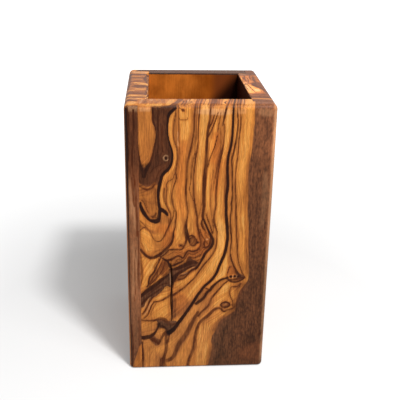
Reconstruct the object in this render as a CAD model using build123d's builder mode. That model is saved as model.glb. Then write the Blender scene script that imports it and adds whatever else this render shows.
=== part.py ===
"""Tall square box, open at the top: four upright boards with rabbeted ends, glued in a ring
round a bottom board. Each board's end sits in its neighbour's rabbet, so the four corners turn
the same way. The outside is rounded over after gluing, so every rounding runs across the joints.

Frame: +Z up, origin at the centre of the underside, -Y the front, +X the right."""

import os

from build123d import *

# Outside of the glued box.
box_width = 58.0  # left to right
box_depth = 64.0  # front to back
box_height = 118.0

# Boards.
wall_thickness = 9.0
tongue_thickness = 5.3  # wood left beside each rabbet, which shows as a strip on the next side
bottom_thickness = 8.0

# Edges, worked after gluing.
edge_round = 2.2  # upright corners and outer rim
foot_round = 1.0  # lower edge, all round
mouth_round = 0.6  # inner edge of the rim


def sanded_shell():
    """The ring of walls as one hollow block, with its outer, lower and inner rim edges rounded."""
    with BuildPart() as shell:
        with BuildSketch():
            Rectangle(box_width, box_depth)
        extrude(amount=box_height)
        uprights = shell.edges().filter_by(Axis.Z)
        outer_rim = shell.faces().sort_by(Axis.Z)[-1].edges()
        fillet(uprights + outer_rim, radius=edge_round)
        foot = shell.faces().sort_by(Axis.Z)[0].edges()
        fillet(foot, radius=foot_round)

        with BuildSketch():
            Rectangle(box_width - 2 * wall_thickness, box_depth - 2 * wall_thickness)
        extrude(amount=box_height, mode=Mode.SUBTRACT)
        mouth = shell.faces().sort_by(Axis.Z)[-1].inner_wires()[0].edges()
        fillet(mouth, radius=mouth_round)
    return shell.part


def board_outline(side_width, side_distance):
    """Plan of one upright board that faces -Y: it starts a tongue's thickness in from the left
    corner, and its rabbet is at the right end of its inner face. side_width is the width of the
    box's side that it makes, and side_distance is how far its outer face is from the box's axis."""
    left_end = -side_width / 2 + tongue_thickness
    right_end = side_width / 2
    shoulder = right_end - wall_thickness
    outer_face = -side_distance
    tongue_back = outer_face + tongue_thickness
    inner_face = outer_face + wall_thickness
    with BuildLine() as outline:
        Polyline(
            (left_end, outer_face),
            (right_end, outer_face),
            (right_end, tongue_back),
            (shoulder, tongue_back),
            (shoulder, inner_face),
            (left_end, inner_face),
            close=True,
        )
    return outline.line


def upright_board(label, side_width, side_distance, turn):
    """One rabbeted board, turned about the box's axis to its side, and written to its file."""
    with BuildPart() as board:
        with BuildSketch(Plane.XY.rotated((0, 0, turn))):
            add(board_outline(side_width, side_distance))
            make_face()
        extrude(amount=box_height)
        add(shell, mode=Mode.INTERSECT)
    board.part.label = label
    export_step(board.part, f"parts/{label}.step")


os.makedirs("parts", exist_ok=True)
shell = sanded_shell()

upright_board("front_board", box_width, box_depth / 2, 0)
upright_board("right_board", box_depth, box_width / 2, 90)
upright_board("back_board", box_width, box_depth / 2, 180)
upright_board("left_board", box_depth, box_width / 2, 270)

with BuildPart() as bottom_board:
    with BuildSketch():
        Rectangle(box_width - 2 * wall_thickness, box_depth - 2 * wall_thickness)
    extrude(amount=bottom_thickness)
bottom_board.part.label = "bottom_board"
export_step(bottom_board.part, "parts/bottom_board.step")
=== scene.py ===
"""Looks of a square olive-wood box, open at the top: four rabbeted boards glued round a bottom
board, sanded, rounded over and oiled. The figure of each board is drawn as a woodworker would
sketch it: black veins, brown growth lines, patches of colour and the dark heartwood, as lines
and outlines in millimetres across and up the board. The drawing is laid on the board's mesh as
attributes, and the material turns them into wood. Some of the drawing is painted highlight,
sheen and shade on rounded edges, and the inside of the box carries painted shade and shadow."""

import math

import bpy
import numpy as np
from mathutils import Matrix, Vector


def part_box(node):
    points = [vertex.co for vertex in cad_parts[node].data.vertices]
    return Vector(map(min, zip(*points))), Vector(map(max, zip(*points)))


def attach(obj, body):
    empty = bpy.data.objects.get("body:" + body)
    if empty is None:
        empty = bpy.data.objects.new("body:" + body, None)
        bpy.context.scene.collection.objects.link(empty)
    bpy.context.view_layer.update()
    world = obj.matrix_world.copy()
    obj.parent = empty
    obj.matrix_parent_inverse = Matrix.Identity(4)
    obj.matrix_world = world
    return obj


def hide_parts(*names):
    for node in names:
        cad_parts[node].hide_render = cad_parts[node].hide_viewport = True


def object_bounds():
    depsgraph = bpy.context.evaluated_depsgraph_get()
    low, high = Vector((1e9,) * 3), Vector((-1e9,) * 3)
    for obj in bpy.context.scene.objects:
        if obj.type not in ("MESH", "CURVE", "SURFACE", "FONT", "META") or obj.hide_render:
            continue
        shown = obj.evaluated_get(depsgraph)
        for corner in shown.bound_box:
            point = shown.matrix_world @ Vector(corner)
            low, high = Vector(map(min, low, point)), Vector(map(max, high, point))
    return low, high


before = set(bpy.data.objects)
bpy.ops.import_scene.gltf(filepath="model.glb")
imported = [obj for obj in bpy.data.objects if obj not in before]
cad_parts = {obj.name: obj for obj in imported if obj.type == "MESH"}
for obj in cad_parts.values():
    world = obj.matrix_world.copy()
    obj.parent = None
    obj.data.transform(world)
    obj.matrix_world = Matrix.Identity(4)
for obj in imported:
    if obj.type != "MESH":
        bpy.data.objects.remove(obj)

MM = 0.001  # the frame is in metres, and everything below is drawn in millimetres
cad_low, cad_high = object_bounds()


# ---------------------------------------------------------------- sizes

# from the frame
box_width, box_depth, box_height = (round(side / MM, 3) for side in cad_high - cad_low)
front_low, front_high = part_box("front_board")
wall = round((front_high.y - front_low.y) / MM, 3)
tongue = round((front_low.x - cad_low.x) / MM, 3)

# radii of the rounding over: the uprights and the outer rim, the foot, and the mouth
edge_round = 2.2
foot_round = 1.0
mouth_round = 0.6


# ---------------------------------------------------------------- how the figure is drawn

# what a board carries: browner or more golden wood, brown beside a line, heartwood, brown line,
# black vein, pale wood and painted sheen and highlight, lighter or darker stretches with painted
# highlight and shade among them, and redder wood
MARKS = ("tone", "halo", "heart", "line", "vein", "pale", "shade", "rust")

halo_strength = 0.35  # the brown beside every drawn line
halo_reach = 0.8  # and how far beside it that goes, in mm


def smooth_path(points, steps=8):
    """A Catmull-Rom curve through the points."""
    p = np.array(points, float)
    p = np.vstack([2 * p[0] - p[1], p, 2 * p[-1] - p[-2]])
    t = np.linspace(0, 1, steps, endpoint=False)[:, None]
    out = []
    for a, b, c, d in zip(p, p[1:], p[2:], p[3:]):
        bend = 2 * a - 5 * b + 4 * c - d
        twist = 3 * b - a - 3 * c + d
        out.append(0.5 * (2 * b + (c - a) * t + bend * t**2 + twist * t**3))
    return np.vstack([*out, p[-2]])


def smooth_step(t):
    """0 to 1 again, but starting and ending gently."""
    return t * t * (3 - 2 * t)


def nearest(spots, path):
    """For each spot: its distance to the path, the side of it (+1 is right of its direction), and
    how far along it is, from 0 to 1."""
    start, step = path[:-1], np.diff(path, axis=0)
    length2 = (step**2).sum(1) + 1e-9
    best = np.full(len(spots), 1e9)
    side = np.ones(len(spots))
    along = np.zeros(len(spots))
    for i in range(len(start)):
        offset = spots - start[i]
        t = np.clip(offset @ step[i] / length2[i], 0, 1)
        away = offset - t[:, None] * step[i]
        d = np.hypot(away[:, 0], away[:, 1])
        closer = d < best
        best[closer] = d[closer]
        side[closer] = np.sign(offset[:, 0] * step[i][1] - offset[:, 1] * step[i][0])[closer]
        along[closer] = ((i + t) / len(start))[closer]
    return best, side, along


def near_path(spots, path, margin):
    """Indices of the spots in the box round a path."""
    low, high = path.min(0) - margin, path.max(0) + margin
    return np.flatnonzero(np.all((spots > low) & (spots < high), axis=1))


def trace(spots, widths, points, margin):
    """The spots near a drawn path: which they are, how far off it, on which side, how far along,
    and half the path's width there."""
    path = smooth_path(points)
    near = near_path(spots, path, margin)
    distance, side, along = nearest(spots[near], path)
    half = np.interp(along, np.linspace(0, 1, len(widths)), widths) / 2
    return near, distance, side, along, half


def brown_and_black(darkness):
    """How much of a darkness is brown line and how much is black vein: up to 1 it is only brown."""
    return ("line", min(darkness, 1)), ("vein", max(darkness - 1, 0))


def draw_line(marks, spots, darkness, lean, widths, points):
    """Draws a soft-edged line of the given widths, from its first point to its last, with a little
    brown about it. Up to a darkness of 1 it is brown, and beyond that it goes to black. Lean is how
    far more brown fades away beside it: to the right of its run above 0, and to the left below."""
    margin = max(max(widths) + halo_reach, abs(lean))
    near, distance, side, _, half = trace(spots, widths, points, margin)
    # full over two thirds of the half width, and gone a quarter beyond it
    cover = np.clip(2.2 - 1.75 * distance / half, 0, 1)
    for mark, strength in brown_and_black(darkness):
        marks[mark][near] = np.maximum(marks[mark][near], strength * cover)
    fading = np.clip(1 - distance / (half + halo_reach), 0, 1)
    beside = halo_strength * min(darkness, 1.5) * fading
    if lean:
        beside = np.maximum(beside, np.clip(1 - distance / abs(lean), 0, 1) * (side == np.sign(lean)))
    marks["halo"][near] = np.maximum(marks["halo"][near], beside)


def draw_stroke(field, spots, strength, widths, points):
    """Adds a wide stroke to a field, strongest along its middle and fading over a tenth of its
    length at each end."""
    near, distance, _, along, half = trace(spots, widths, points, max(widths))
    cover = np.clip(1.5 - distance / half, 0, 1)
    ends = np.clip(8 * np.minimum(along, 1 - along) + 0.15, 0, 1)
    field[near] += strength * ends * smooth_step(cover)


def inside(spots, outline):
    """True where a spot is inside the closed outline."""
    x, y = spots[:, 0], spots[:, 1]
    result = np.zeros(len(spots), bool)
    for (x0, y0), (x1, y1) in zip(outline, np.roll(outline, -1, axis=0)):
        if y0 == y1:
            continue
        crosses = (y0 > y) != (y1 > y)
        result ^= crosses & (x < (x1 - x0) * (y - y0) / (y1 - y0) + x0)
    return result


def draw_patch(field, spots, points, strength=1.0, feather=1.0):
    """Fills a smooth closed outline on a field, with an edge that fades over the feather."""
    outline = smooth_path([*points, points[0]])
    near = near_path(spots, outline, feather)
    distance, _, _ = nearest(spots[near], outline)
    signed = np.where(inside(spots[near], outline[:-1]), distance, -distance)
    cover = smooth_step(np.clip(0.5 + signed / feather, 0, 1))
    field[near] = field[near] * (1 - cover) + strength * cover


def ring(centre, across, up):
    """Points round an ellipse, which is how a knot lies on a face."""
    angles = np.radians(np.arange(0, 360, 30))
    return [(centre[0] + x, centre[1] + y) for x, y in zip(across * np.cos(angles), up * np.sin(angles))]


def draw_knot(marks, spots, centre, across, up, ring_darkness, heart_darkness, heart):
    """Draws a small knot: brown inside, with a thin line round it and a dark heart."""
    outline = ring(centre, across, up)
    draw_patch(marks["tone"], spots, outline, strength=1.2, feather=0.5)
    draw_line(marks, spots, ring_darkness, 0, [0.4], [*outline, outline[0]])
    for mark, strength in brown_and_black(heart_darkness):
        draw_patch(marks[mark], spots, ring(centre, heart, heart), strength, feather=0.3)


def draw_figure(marks, spots, figure):
    """Draws every entry of a board's figure onto its marks."""
    for strength, softness, outline in figure["tones"]:
        draw_patch(marks["tone"], spots, outline, strength, softness)
    for strength, widths, path in figure["strokes"]:
        draw_stroke(marks["tone"], spots, strength, widths, path)
    for softness, outline in figure["hearts"]:
        layer = np.zeros(len(spots))
        draw_patch(layer, spots, outline, 1.0, softness)
        marks["heart"] = np.maximum(marks["heart"], layer)
    for softness, outline in figure["bare"]:
        draw_patch(marks["heart"], spots, outline, 0.0, softness)
    for strength, softness, outline in figure["shades"]:
        layer = np.zeros(len(spots))
        draw_patch(layer, spots, outline, strength, softness)
        marks["shade"] += layer
    for darkness, lean, widths, path in figure["lines"]:
        draw_line(marks, spots, darkness, lean, widths, path)
    for knot in figure["knots"]:
        draw_knot(marks, spots, *knot)
    for strength, widths, path in figure["pales"]:
        draw_stroke(marks["pale"], spots, strength, widths, path)
    for strength, widths, path in figure["rusts"]:
        draw_stroke(marks["rust"], spots, strength, widths, path)


def flow_field(spots, guides):
    """A smooth number over the board that keeps each guide's value all along the guide, so that
    fine grain drawn by it runs the way the veins run."""
    points = np.array([p for _, path in guides for p in path], float)
    values = np.array([v for v, path in guides for _ in path], float)

    def basis(a, b):
        """Distances between the two sets of points, blunted over 2 mm so that no guide point shows."""
        return np.sqrt(((a[:, None, :] - b[None, :, :]) ** 2).sum(2) + 2.0**2)

    weights = np.linalg.lstsq(basis(points, points), values - values.mean(), rcond=1e-6)[0]
    flow = np.empty(len(spots))
    handful = 4000  # spots worked at a time, to save memory
    for part in np.array_split(np.arange(len(spots)), max(1, len(spots) // handful)):
        flow[part] = basis(spots[part], points) @ weights + values.mean()
    return flow


def grow_figure(marks, spots, seed, knots, swirls, bands, spacing):
    """Figure of a board whose face isn't drawn, and the flow of its grain. Growth lines, about a
    spacing apart, swing up the board, bulge at its swirls (across, up, width, height, how far) and
    part round its knots (across, up, size). Bands of dark heartwood start between two levels of
    flow at the rim, and run thinner and wider below. The rim and the end are left for drawing."""
    chance = np.random.default_rng(seed)
    swings = ((2.6, 95, 16), (1.0, 41, 10), (0.3, 17, 3))  # how far, over what length, and its slant
    phases = chance.uniform(0, 2 * math.pi, len(swings))

    def below_rim(up):
        """How freely the grain swings: little at the rim, and fully 26 mm below it."""
        return np.clip((box_height + 4 - up) / 30, 0, 1)

    def flow_at(across, up):
        """A number that stays the same along the grain, and grows by about 1 for each mm across it."""
        flow = across.copy()
        free = below_rim(up)
        for (swing, length, slant), phase in zip(swings, phases):
            flow += free * swing * np.sin((2 * math.pi * up + across * slant) / length + phase)
        for centre_across, centre_up, wide, high, push in swirls:
            off = -(((across - centre_across) / wide) ** 2) - ((up - centre_up) / high) ** 2
            flow += free * push * np.exp(off)
        for centre_across, centre_up, size in knots:
            beside, above = across - centre_across, up - centre_up
            off = -((above / (3 * size)) ** 2) - (beside / (5 * size)) ** 2
            flow -= 1.5 * size * np.tanh(beside / size) * np.exp(off)
        return flow

    across, up = spots.T
    flow = flow_at(across, up)
    step = 0.2  # mm, to find how fast the flow changes, which keeps lines the thickness they are given
    slope = np.hypot(flow_at(across + step, up) - flow, flow_at(across, up + step) - flow) / step
    slope = np.maximum(slope, 0.3)

    # growth lines, each at a level of flow: one in five is black, and one in four gaps is wide
    level = -10.0
    while level < 90:
        half = chance.uniform(0.3, 0.6)
        strength = chance.uniform(0.35, 1)
        kind = "vein" if chance.random() < 0.22 else "line"
        mark = strength * np.clip(1.5 - abs(flow - level) / slope / half, 0, 1)
        marks[kind] = np.maximum(marks[kind], mark)
        gap = (0.35, 1.0) if chance.random() < 0.75 else (2.0, 3.4)
        level += spacing * chance.uniform(*gap)
    for low, high in bands:
        wave = np.sin(2 * math.pi * up / chance.uniform(110, 190) + chance.uniform(0, 2 * math.pi))
        slim = below_rim(up) * 0.22 * min(high - low, 5) * (1 + wave)
        left, right = (flow - low - slim) / slope, (high - slim - flow) / slope
        band = np.clip(left + 0.5, 0, 1) * np.clip(right + 0.5, 0, 1)
        marks["heart"] = np.maximum(marks["heart"], band)
        marks["vein"] = np.maximum(marks["vein"], 0.7 * np.clip(1.5 - abs(left) / 0.4, 0, 1))
    for length in (7, 13):
        phase = chance.uniform(0, 2 * math.pi)
        marks["tone"] += 0.35 * np.sin(2 * math.pi * flow / length + phase + up / 60)
    for *centre, size in knots:
        draw_patch(marks["heart"], spots, ring(centre, 0.8 * size, 1.1 * size), feather=0.8)
        draw_patch(marks["vein"], spots, ring(centre, 0.25 * size, 0.35 * size), feather=0.3)
    face = np.clip((box_height + 2 - up) / 4, 0, 1) * (across < across.max() - wall)
    for name in MARKS:
        marks[name] *= face
    marks["halo"] = 0.6 * np.maximum(marks["line"], marks["vein"])
    return flow


def board_marks(spots, figure):
    """Everything on a board, by name: its figure, grown by rule first where most of it isn't
    drawn, and the flow of its fine grain."""
    marks = {name: np.zeros(len(spots)) for name in MARKS}
    if "grown" in figure:
        flow = grow_figure(marks, spots, **figure["grown"])
    else:
        flow = flow_field(spots, figure["guides"])
    draw_figure(marks, spots, figure)
    marks["flow"] = flow
    return marks


# ---------------------------------------------------------------- the figure of each board

# A figure's entries, whose lengths are all in millimetres:
#   lines    darkness (1 is dark brown, 2 is black), brown shading beside it, widths, path
#   strokes  browner (above 0) or more golden (below 0), widths, path
#   tones    browner (above 0) or more golden (below 0), how softly it ends, outline
#   hearts   dark heartwood: how softly it ends, outline
#   bare     golden wood within the heartwood: how softly it ends, outline
#   shades   broad stretches made lighter (above 0) or darker, some of them painted highlight
#            and shade on rounded edges: how softly, outline
#   knots    centre, half width, half height, darkness of its ring and of its heart, heart's half width
#   pales    pale, worn or dry wood, and painted sheen and highlight on rounded edges: how much,
#            widths, path
#   rusts    redder wood: how much, widths, path
#   guides   for the fine grain: a value, and where the grain keeps it
#   grown    what grow_figure takes

# Front board. Across is from the box's left edge, up is from the table, and on the rim up goes on
# growing with the depth, as if the rim were folded up above the face.

FRONT_LINES = [
    # on the rim
    (0.6, 0, [0.4, 0.7, 0.4], [(7, 120), (7.4, 123), (7, 126.4)]),
    (0.5, 0, [0.4, 0.8, 0.4], [(11.6, 120), (12, 122), (13, 126)]),
    (0.9, 0, [0.5, 1.2, 0.6], [(24.4, 120), (24.8, 121.4), (24.6, 123.4)]),
    (1.3, 0, [0.4], [(29.7, 119), (30, 128)]),
    (1.5, 0, [0.5], [(35.4, 119), (35.2, 123), (35.2, 128)]),
    (1.3, 0, [0.5, 0.9, 0.4], [(38, 119.6), (37.6, 121.4), (38, 123.4)]),
    (1.5, 0, [0.4, 0.6], [(21.4, 119), (21.8, 121), (21.6, 124)]),
    (1.4, 0, [0.4], [(44.9, 118.6), (44.9, 128)]),
    (0.8, 0, [0.4], [(40.8, 119), (41.4, 122), (40.8, 125)]),
    (1.2, 0, [0.4, 0.6], [(22.4, 118.4), (22.9, 121), (22.8, 124)]),
    (0.9, 0, [0.35], [(23.6, 119), (24, 122), (23.8, 126.6)]),
    (0.7, 0, [0.35], [(25.6, 119), (25.8, 123), (25.6, 127)]),
    (1.2, 0, [0.5, 0.4], [(31.4, 119), (31.6, 123), (31.4, 127.4)]),
    (1.3, 0, [0.45], [(33.6, 118.4), (33.8, 122), (33.7, 127.6)]),
    (1.1, 0, [0.5, 0.7, 0.4], [(34.5, 118.6), (34.5, 122), (34.4, 126)]),
    (1.0, 0, [0.4], [(36.4, 119), (36.3, 123), (36.4, 127)]),
    (1.2, 0, [0.4, 0.5], [(40.2, 118.6), (40.1, 122), (40.2, 126)]),
    (1.2, 0, [0.4], [(43.3, 118.6), (43.2, 123), (43.3, 127.6)]),
    # round the golden tongue at the upper left
    (1.6, 0, [0.9, 1.0, 0.5, 0.6, 0.8, 1.1, 1.6, 1.8],
     [(10.7, 116.9), (10.9, 114), (11, 111.5), (11.8, 109.2), (12, 106.5), (11.9, 104), (11.4, 101.6),
      (10.8, 98.6), (10, 95.8), (8.9, 93.6), (7.8, 91.6), (7.2, 89.6)]),
    (1.6, 0, [0.3, 0.5, 0.7, 0.9, 1.4, 1.8],
     [(5.1, 102), (5.3, 99.4), (5.6, 96.8), (6, 94.6), (6.5, 92.6), (7.1, 90.4)]),
    # right edge of the dark band, on down to the hook
    (2, 0, [1.0, 1.4, 0.9, 0.6, 0.7, 0.8, 1.0, 1.4, 1.2, 1.5, 1.3, 1.1, 1.4, 1.1, 0.8],
     [(19.4, 116.7), (18.2, 115.7), (17, 114.4), (16.5, 112.4), (16.3, 109), (16.5, 105.8), (17.1, 103),
      (17.8, 100.8), (18.2, 98.6), (18.1, 96.2), (17.6, 94.2), (16.6, 92.5), (15.3, 91.2), (14.3, 90),
      (13.8, 88.2), (13.3, 86.2), (12.9, 84.2), (12.7, 82), (12.8, 79.6), (13, 77.6), (13.3, 75.6),
      (13.3, 73.4), (13.2, 71.6), (12.9, 70.4)]),
    (2, 0, [1.3, 1.7, 1.5, 0.9], [(13.4, 76), (14.6, 75.1), (15.6, 74.2), (16.3, 73.1)]),
    # streaks in the dark band
    (1.4, 0, [0.5, 0.7, 0.4], [(12.9, 116), (12.7, 111), (12.9, 106), (12.7, 101), (12, 97.5)]),
    (1.3, 0, [0.4, 0.6, 0.4], [(14.3, 110), (14.2, 105), (14.3, 101.5), (14.6, 99.4)]),
    (1.3, 0, [0.4, 0.5, 0.5], [(14, 94.4), (12.4, 93.8), (11, 92.8), (9.8, 91)]),
    (1.3, 0, [0.4, 0.5], [(15, 93.2), (13.4, 91.8), (12.4, 89.8), (11.6, 87.6)]),
    # under the pale head
    (2, -1.2, [0.7, 1.4, 1.7, 1.4, 1.1, 0.9, 0.8, 0.8],
     [(5.7, 78.6), (5.9, 77), (6.5, 75.2), (7.4, 73.5), (8.5, 71.9), (9.6, 70.7), (10.8, 70.1), (12, 69.9),
      (13, 70.4)]),
    (0.9, 0, [0.4, 0.5, 0.3], [(5.9, 79.7), (6.8, 79.1), (7.6, 77.5), (8.2, 75.7), (8.9, 74)]),
    (1.4, 0, [0.4, 1.2, 0.6], [(9.9, 72.6), (10.8, 72.4), (11.4, 73), (11.8, 74)]),
    (1.0, 0, [0.5], [(10.2, 72), (11.2, 71.9), (12, 72.2)]),
    (1.1, 0, [0.7, 0.9, 0.7], [(5.4, 85.6), (6.6, 84.7), (8.4, 84.1), (10.2, 84.7), (11.3, 86.2)]),
    (0.6, 0, [0.4, 0.5], [(11.6, 84.6), (11.5, 81.4), (11.8, 78.4), (12.1, 75.6)]),
    (0.5, 0, [0.4], [(6.2, 84), (6.6, 81.6), (7.6, 79.2), (8.6, 76.4)]),
    # growth lines right of the band
    (0.75, -1.2, [0.4, 0.5, 0.5, 0.35, 0.4, 0.4],
     [(19.5, 117.5), (19.2, 114), (18.7, 111), (18.4, 108.5), (18.5, 105.5), (19.1, 102.8), (19.9, 100),
      (20.1, 97), (19.8, 94.5), (19.4, 92), (19.2, 90.4)]),
    (0.6, 0, [0.35], [(19.7, 115), (19.6, 112), (19.5, 109.5), (19.6, 107), (19.9, 104)]),
    (0.85, 0, [0.4, 0.45, 0.35],
     [(20.4, 118.5), (20.5, 115), (20.6, 112), (20.6, 108), (20.6, 104.5), (20.9, 101.5), (21, 98.5)]),
    (0.45, 0, [0.6, 0.7], [(21, 100), (20.9, 96.5), (20.6, 93), (20.3, 90), (20.2, 87)]),
    (0.4, 0, [0.4], [(22.1, 100), (21.9, 94), (21.4, 88), (21.2, 82), (21.4, 76)]),
    (1.2, 0, [0.6, 0.5, 0.4], [(20.1, 118.8), (20.5, 117.2), (21.3, 116.4), (22.1, 115.9), (22.7, 115.5)]),
    (0.6, 0, [0.3], [(24.2, 128), (24.1, 117), (24.1, 114), (23.8, 112.7)]),
    (0.95, 0, [0.35, 0.4], [(24, 113), (23.6, 112.2), (22.4, 112.2), (21.1, 112.2), (20.7, 112.8)]),
    # the line 26 mm across, down to the knots
    (1.25, 1.4, [0.4, 0.4, 0.5, 0.6, 0.9, 0.9, 0.9, 0.9, 0.8, 0.7, 0.6, 0.5, 1.0, 1.4, 1.5, 0.9, 0.8],
     [(26.8, 128), (26.7, 118), (26.4, 114), (26.4, 110), (26.2, 107), (25.8, 104.3), (25.4, 101.6),
      (24.8, 98.8), (24.3, 96.3), (23.9, 93.3), (23.8, 90), (23.7, 87), (23.5, 84), (23.6, 81),
      (23.9, 78.3), (24.3, 76.2), (24.5, 74.3), (24.3, 72.3), (24, 70.7), (23.7, 69.2), (23.5, 67.7),
      (23.5, 66), (23.8, 64.3), (24, 62.3), (23.6, 60.5), (22.9, 58.7)]),
    (0.85, 0, [0.3, 0.4, 0.5, 0.5],
     [(27.5, 128), (27.3, 114), (27.2, 109), (27.1, 105), (26.9, 102), (26.8, 99.5), (26.4, 97),
      (25.9, 94.6), (25.6, 92), (25.5, 89.5), (25.3, 87), (25, 85.5), (24.9, 84), (25.3, 82.2),
      (25.9, 80.6), (26.5, 79.2)]),
    (1.15, 0.9, [0.5, 0.4, 0.4, 0.6, 0.6, 0.5, 0.5, 0.5, 0.6, 0.9, 0.7, 0.8, 1.0, 0.8, 0.8],
     [(28.6, 128), (28.5, 118), (28.2, 113.5), (28.1, 109.5), (28, 106), (28, 103), (27.8, 100.8),
      (27.4, 98.6), (27, 96), (26.8, 93.5), (26.6, 91), (26.5, 88), (26.6, 85.5), (26.7, 82.5),
      (26.9, 79.8), (27.2, 77.6), (27.6, 75.4), (28, 73.4), (28.3, 71.8), (28.2, 70), (28.4, 68),
      (28.8, 66), (29.1, 64.4), (29.5, 62.8), (29.8, 61.2), (29.6, 59.2), (28.8, 58)]),
    (0.6, 0, [0.4, 0.5], [(30, 82.5), (29.8, 78.5), (29.4, 75.5), (29, 73.4), (28.5, 72)]),
    (0.4, 0, [0.3], [(30.4, 116), (30.1, 110), (29.9, 104), (29.7, 98), (29.4, 92)]),
    # the vein 31 mm across
    (1.2, 0, [0.8, 0.8, 0.9, 0.8], [(32.6, 128), (32.4, 118), (32.3, 115), (32.1, 112.5), (31.8, 109.6)]),
    (1.4, 1.1, [0.9, 1.1, 1.2, 1.3, 1.4, 1.7, 1.7, 1.6, 1.4, 1.2, 1.0],
     [(31.9, 110.5), (31.6, 108.4), (31.4, 106), (31.3, 103), (31.3, 99.5), (31.2, 96), (31, 92.5),
      (30.8, 89), (30.7, 86), (30.6, 82.5), (30.7, 79.5), (30.8, 77), (30.6, 75), (30.4, 73),
      (30.5, 71.3)]),
    (1.8, 0.8, [0.8, 0.9, 0.9, 1.1, 1.4, 1.3, 1.2, 1.3, 1.3, 1.0, 0.9, 0.8],
     [(30.7, 71.3), (31.4, 69.4), (32.2, 67.4), (32.9, 65.8), (33.7, 64.2), (34.4, 62.8), (34.7, 61.4),
      (34.5, 59.9), (33.8, 58.4), (32.6, 57), (31.6, 55.7), (31, 54.3), (30.3, 52.9), (29.6, 51.4),
      (28.8, 49.9), (28, 48.8)]),
    (1.5, 0, [0.6, 0.8, 0.7, 0.5], [(30.3, 71.3), (29.9, 69.8), (30, 68.4), (30.6, 67.2), (31.4, 66.2)]),
    (1.1, 0, [0.5, 0.6],
     [(31.6, 73.6), (32.2, 71.6), (32.9, 69.6), (33.5, 67.8), (34, 66.2), (34.4, 64.9)]),
    (0.9, 0, [0.4], [(34, 71), (34.4, 69), (34.7, 67), (34.8, 65)]),
    (0.9, 0, [0.4, 0.6, 0.4], [(29.4, 66.6), (29.9, 64.6), (30.9, 62.8), (31.8, 61.4), (32.6, 60)]),
    (0.8, 0, [0.5], [(30.2, 69.4), (31, 67), (32.2, 65), (33.2, 63.6)]),
    (1.1, 0, [0.5, 0.6, 0.7], [(33.9, 114), (33, 111), (32.1, 109.2), (31.7, 108)]),
    (1.1, 0, [0.4, 0.55, 0.7], [(35.2, 115), (34.4, 112.2), (33.5, 109.6), (32.6, 107.3), (31.7, 105.5)]),
    (0.8, 0, [0.4], [(36.3, 115), (35.9, 112), (35.6, 109.8), (35.3, 107.5)]),
    (0.9, 0, [0.4, 0.6, 0.5, 0.4],
     [(35.2, 106), (34.8, 103.8), (34.3, 101.6), (33.6, 99.6), (32.9, 97.6), (32.3, 95.6), (32, 93.5)]),
    (0.7, 0, [0.4, 0.6, 0.5],
     [(36.1, 109), (36.5, 105.5), (36.7, 102.5), (36.6, 99), (36, 95.5), (35.4, 92.5), (34.9, 89.5),
      (34.5, 86.5)]),
    (1.5, 0, [0.6, 0.7, 0.9, 0.5], [(39.6, 128), (38.8, 119), (38.1, 115.4), (37.6, 112.6), (37.1, 110)]),
    (0.65, 0, [0.35, 0.4, 0.35],
     [(34.1, 92), (33.6, 88), (33.3, 84), (33.2, 80), (33.3, 77), (33.7, 74.4), (34.1, 72), (34.5, 69.8)]),
    (0.45, 0, [0.3], [(34.6, 88), (34.2, 84), (34, 80), (34.2, 76), (34.4, 73)]),
    # the line 37 mm across, on down across the board
    (1.1, 1.0, [0.5, 0.6, 0.7, 0.6, 0.6, 0.7, 0.6, 0.6, 0.9, 0.7, 0.6, 0.7, 0.6, 0.6, 0.7, 0.7, 0.6, 0.7,
                1.0, 1.2],
     [(37.8, 110.5), (38, 107.5), (37.8, 104.5), (37.6, 102), (37.3, 99.6), (36.9, 97.3), (36.5, 95),
      (36.2, 92.5), (36, 90), (35.7, 87), (35.5, 84), (35.4, 81), (35.5, 79), (35.6, 77.2), (35.2, 74.6),
      (34.9, 72), (35, 70), (35.5, 68), (36.1, 66.3), (36.4, 64.2), (36.3, 62), (36.2, 60), (36, 58.4),
      (35.6, 57), (35, 55.8), (34.2, 54.5), (33.3, 53.2), (32.3, 51.9), (31.3, 50.6), (30.3, 49.1),
      (29.3, 47.5), (28.4, 45.9), (27.2, 44.2), (25.9, 42.8), (24.5, 41.4), (23.1, 39.8), (21.6, 38.7),
      (20.1, 37.5), (18.5, 36.4)]),
    # the main vein
    (1.9, 1.4, [0.8, 0.9, 1.0, 1.1, 1.1, 1.3, 1.2, 1.4, 1.3, 1.4, 1.3, 1.2, 1.2, 1.2, 1.3, 1.4, 1.6, 1.8,
                2.6],
     [(41.3, 128), (41.1, 118), (41, 114), (41, 111), (41, 108), (40.9, 105.5), (40.7, 103), (40.4, 101),
      (39.9, 98.8), (39.6, 96.5), (39.5, 94), (39.6, 91), (39.8, 88), (39.9, 85.5), (39.7, 83), (39.5, 81),
      (39.5, 78.5), (39.6, 76), (39.6, 73.5), (39.9, 71), (40.2, 68.5), (40.4, 66), (40.6, 63),
      (40.4, 60.5), (40.1, 58), (39.6, 55.6), (38.9, 53.4), (38.2, 51.6), (37.6, 50), (37, 48),
      (36.3, 46.2), (35.5, 44.8), (34.5, 43.3), (33.2, 42), (31.9, 40.8), (31, 39.6), (30.1, 38.1),
      (29.1, 36.6), (28.2, 35), (27.3, 33.2), (26.3, 31.4), (25.3, 29.7), (24.2, 27.9), (23.1, 26.1),
      (22, 24.4), (20.9, 22.8), (20, 21.2), (19, 19.8), (17.9, 18.7), (17, 18.1)]),
    (1.6, 0, [0.5, 0.5, 0.6, 0.7, 0.6, 0.8, 0.6, 0.5, 0.6, 0.7, 0.6, 0.6, 0.7, 0.6, 0.5, 0.7, 0.8, 1.0,
              1.0],
     [(42.6, 128), (42.5, 118), (42.6, 114.5), (42.9, 111.5), (42.9, 109), (42.7, 106.5), (42.4, 104),
      (42, 101.3), (41.6, 99), (41.2, 97), (41.1, 95.3), (41.3, 93.3), (41.5, 90.8), (41.6, 88),
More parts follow.
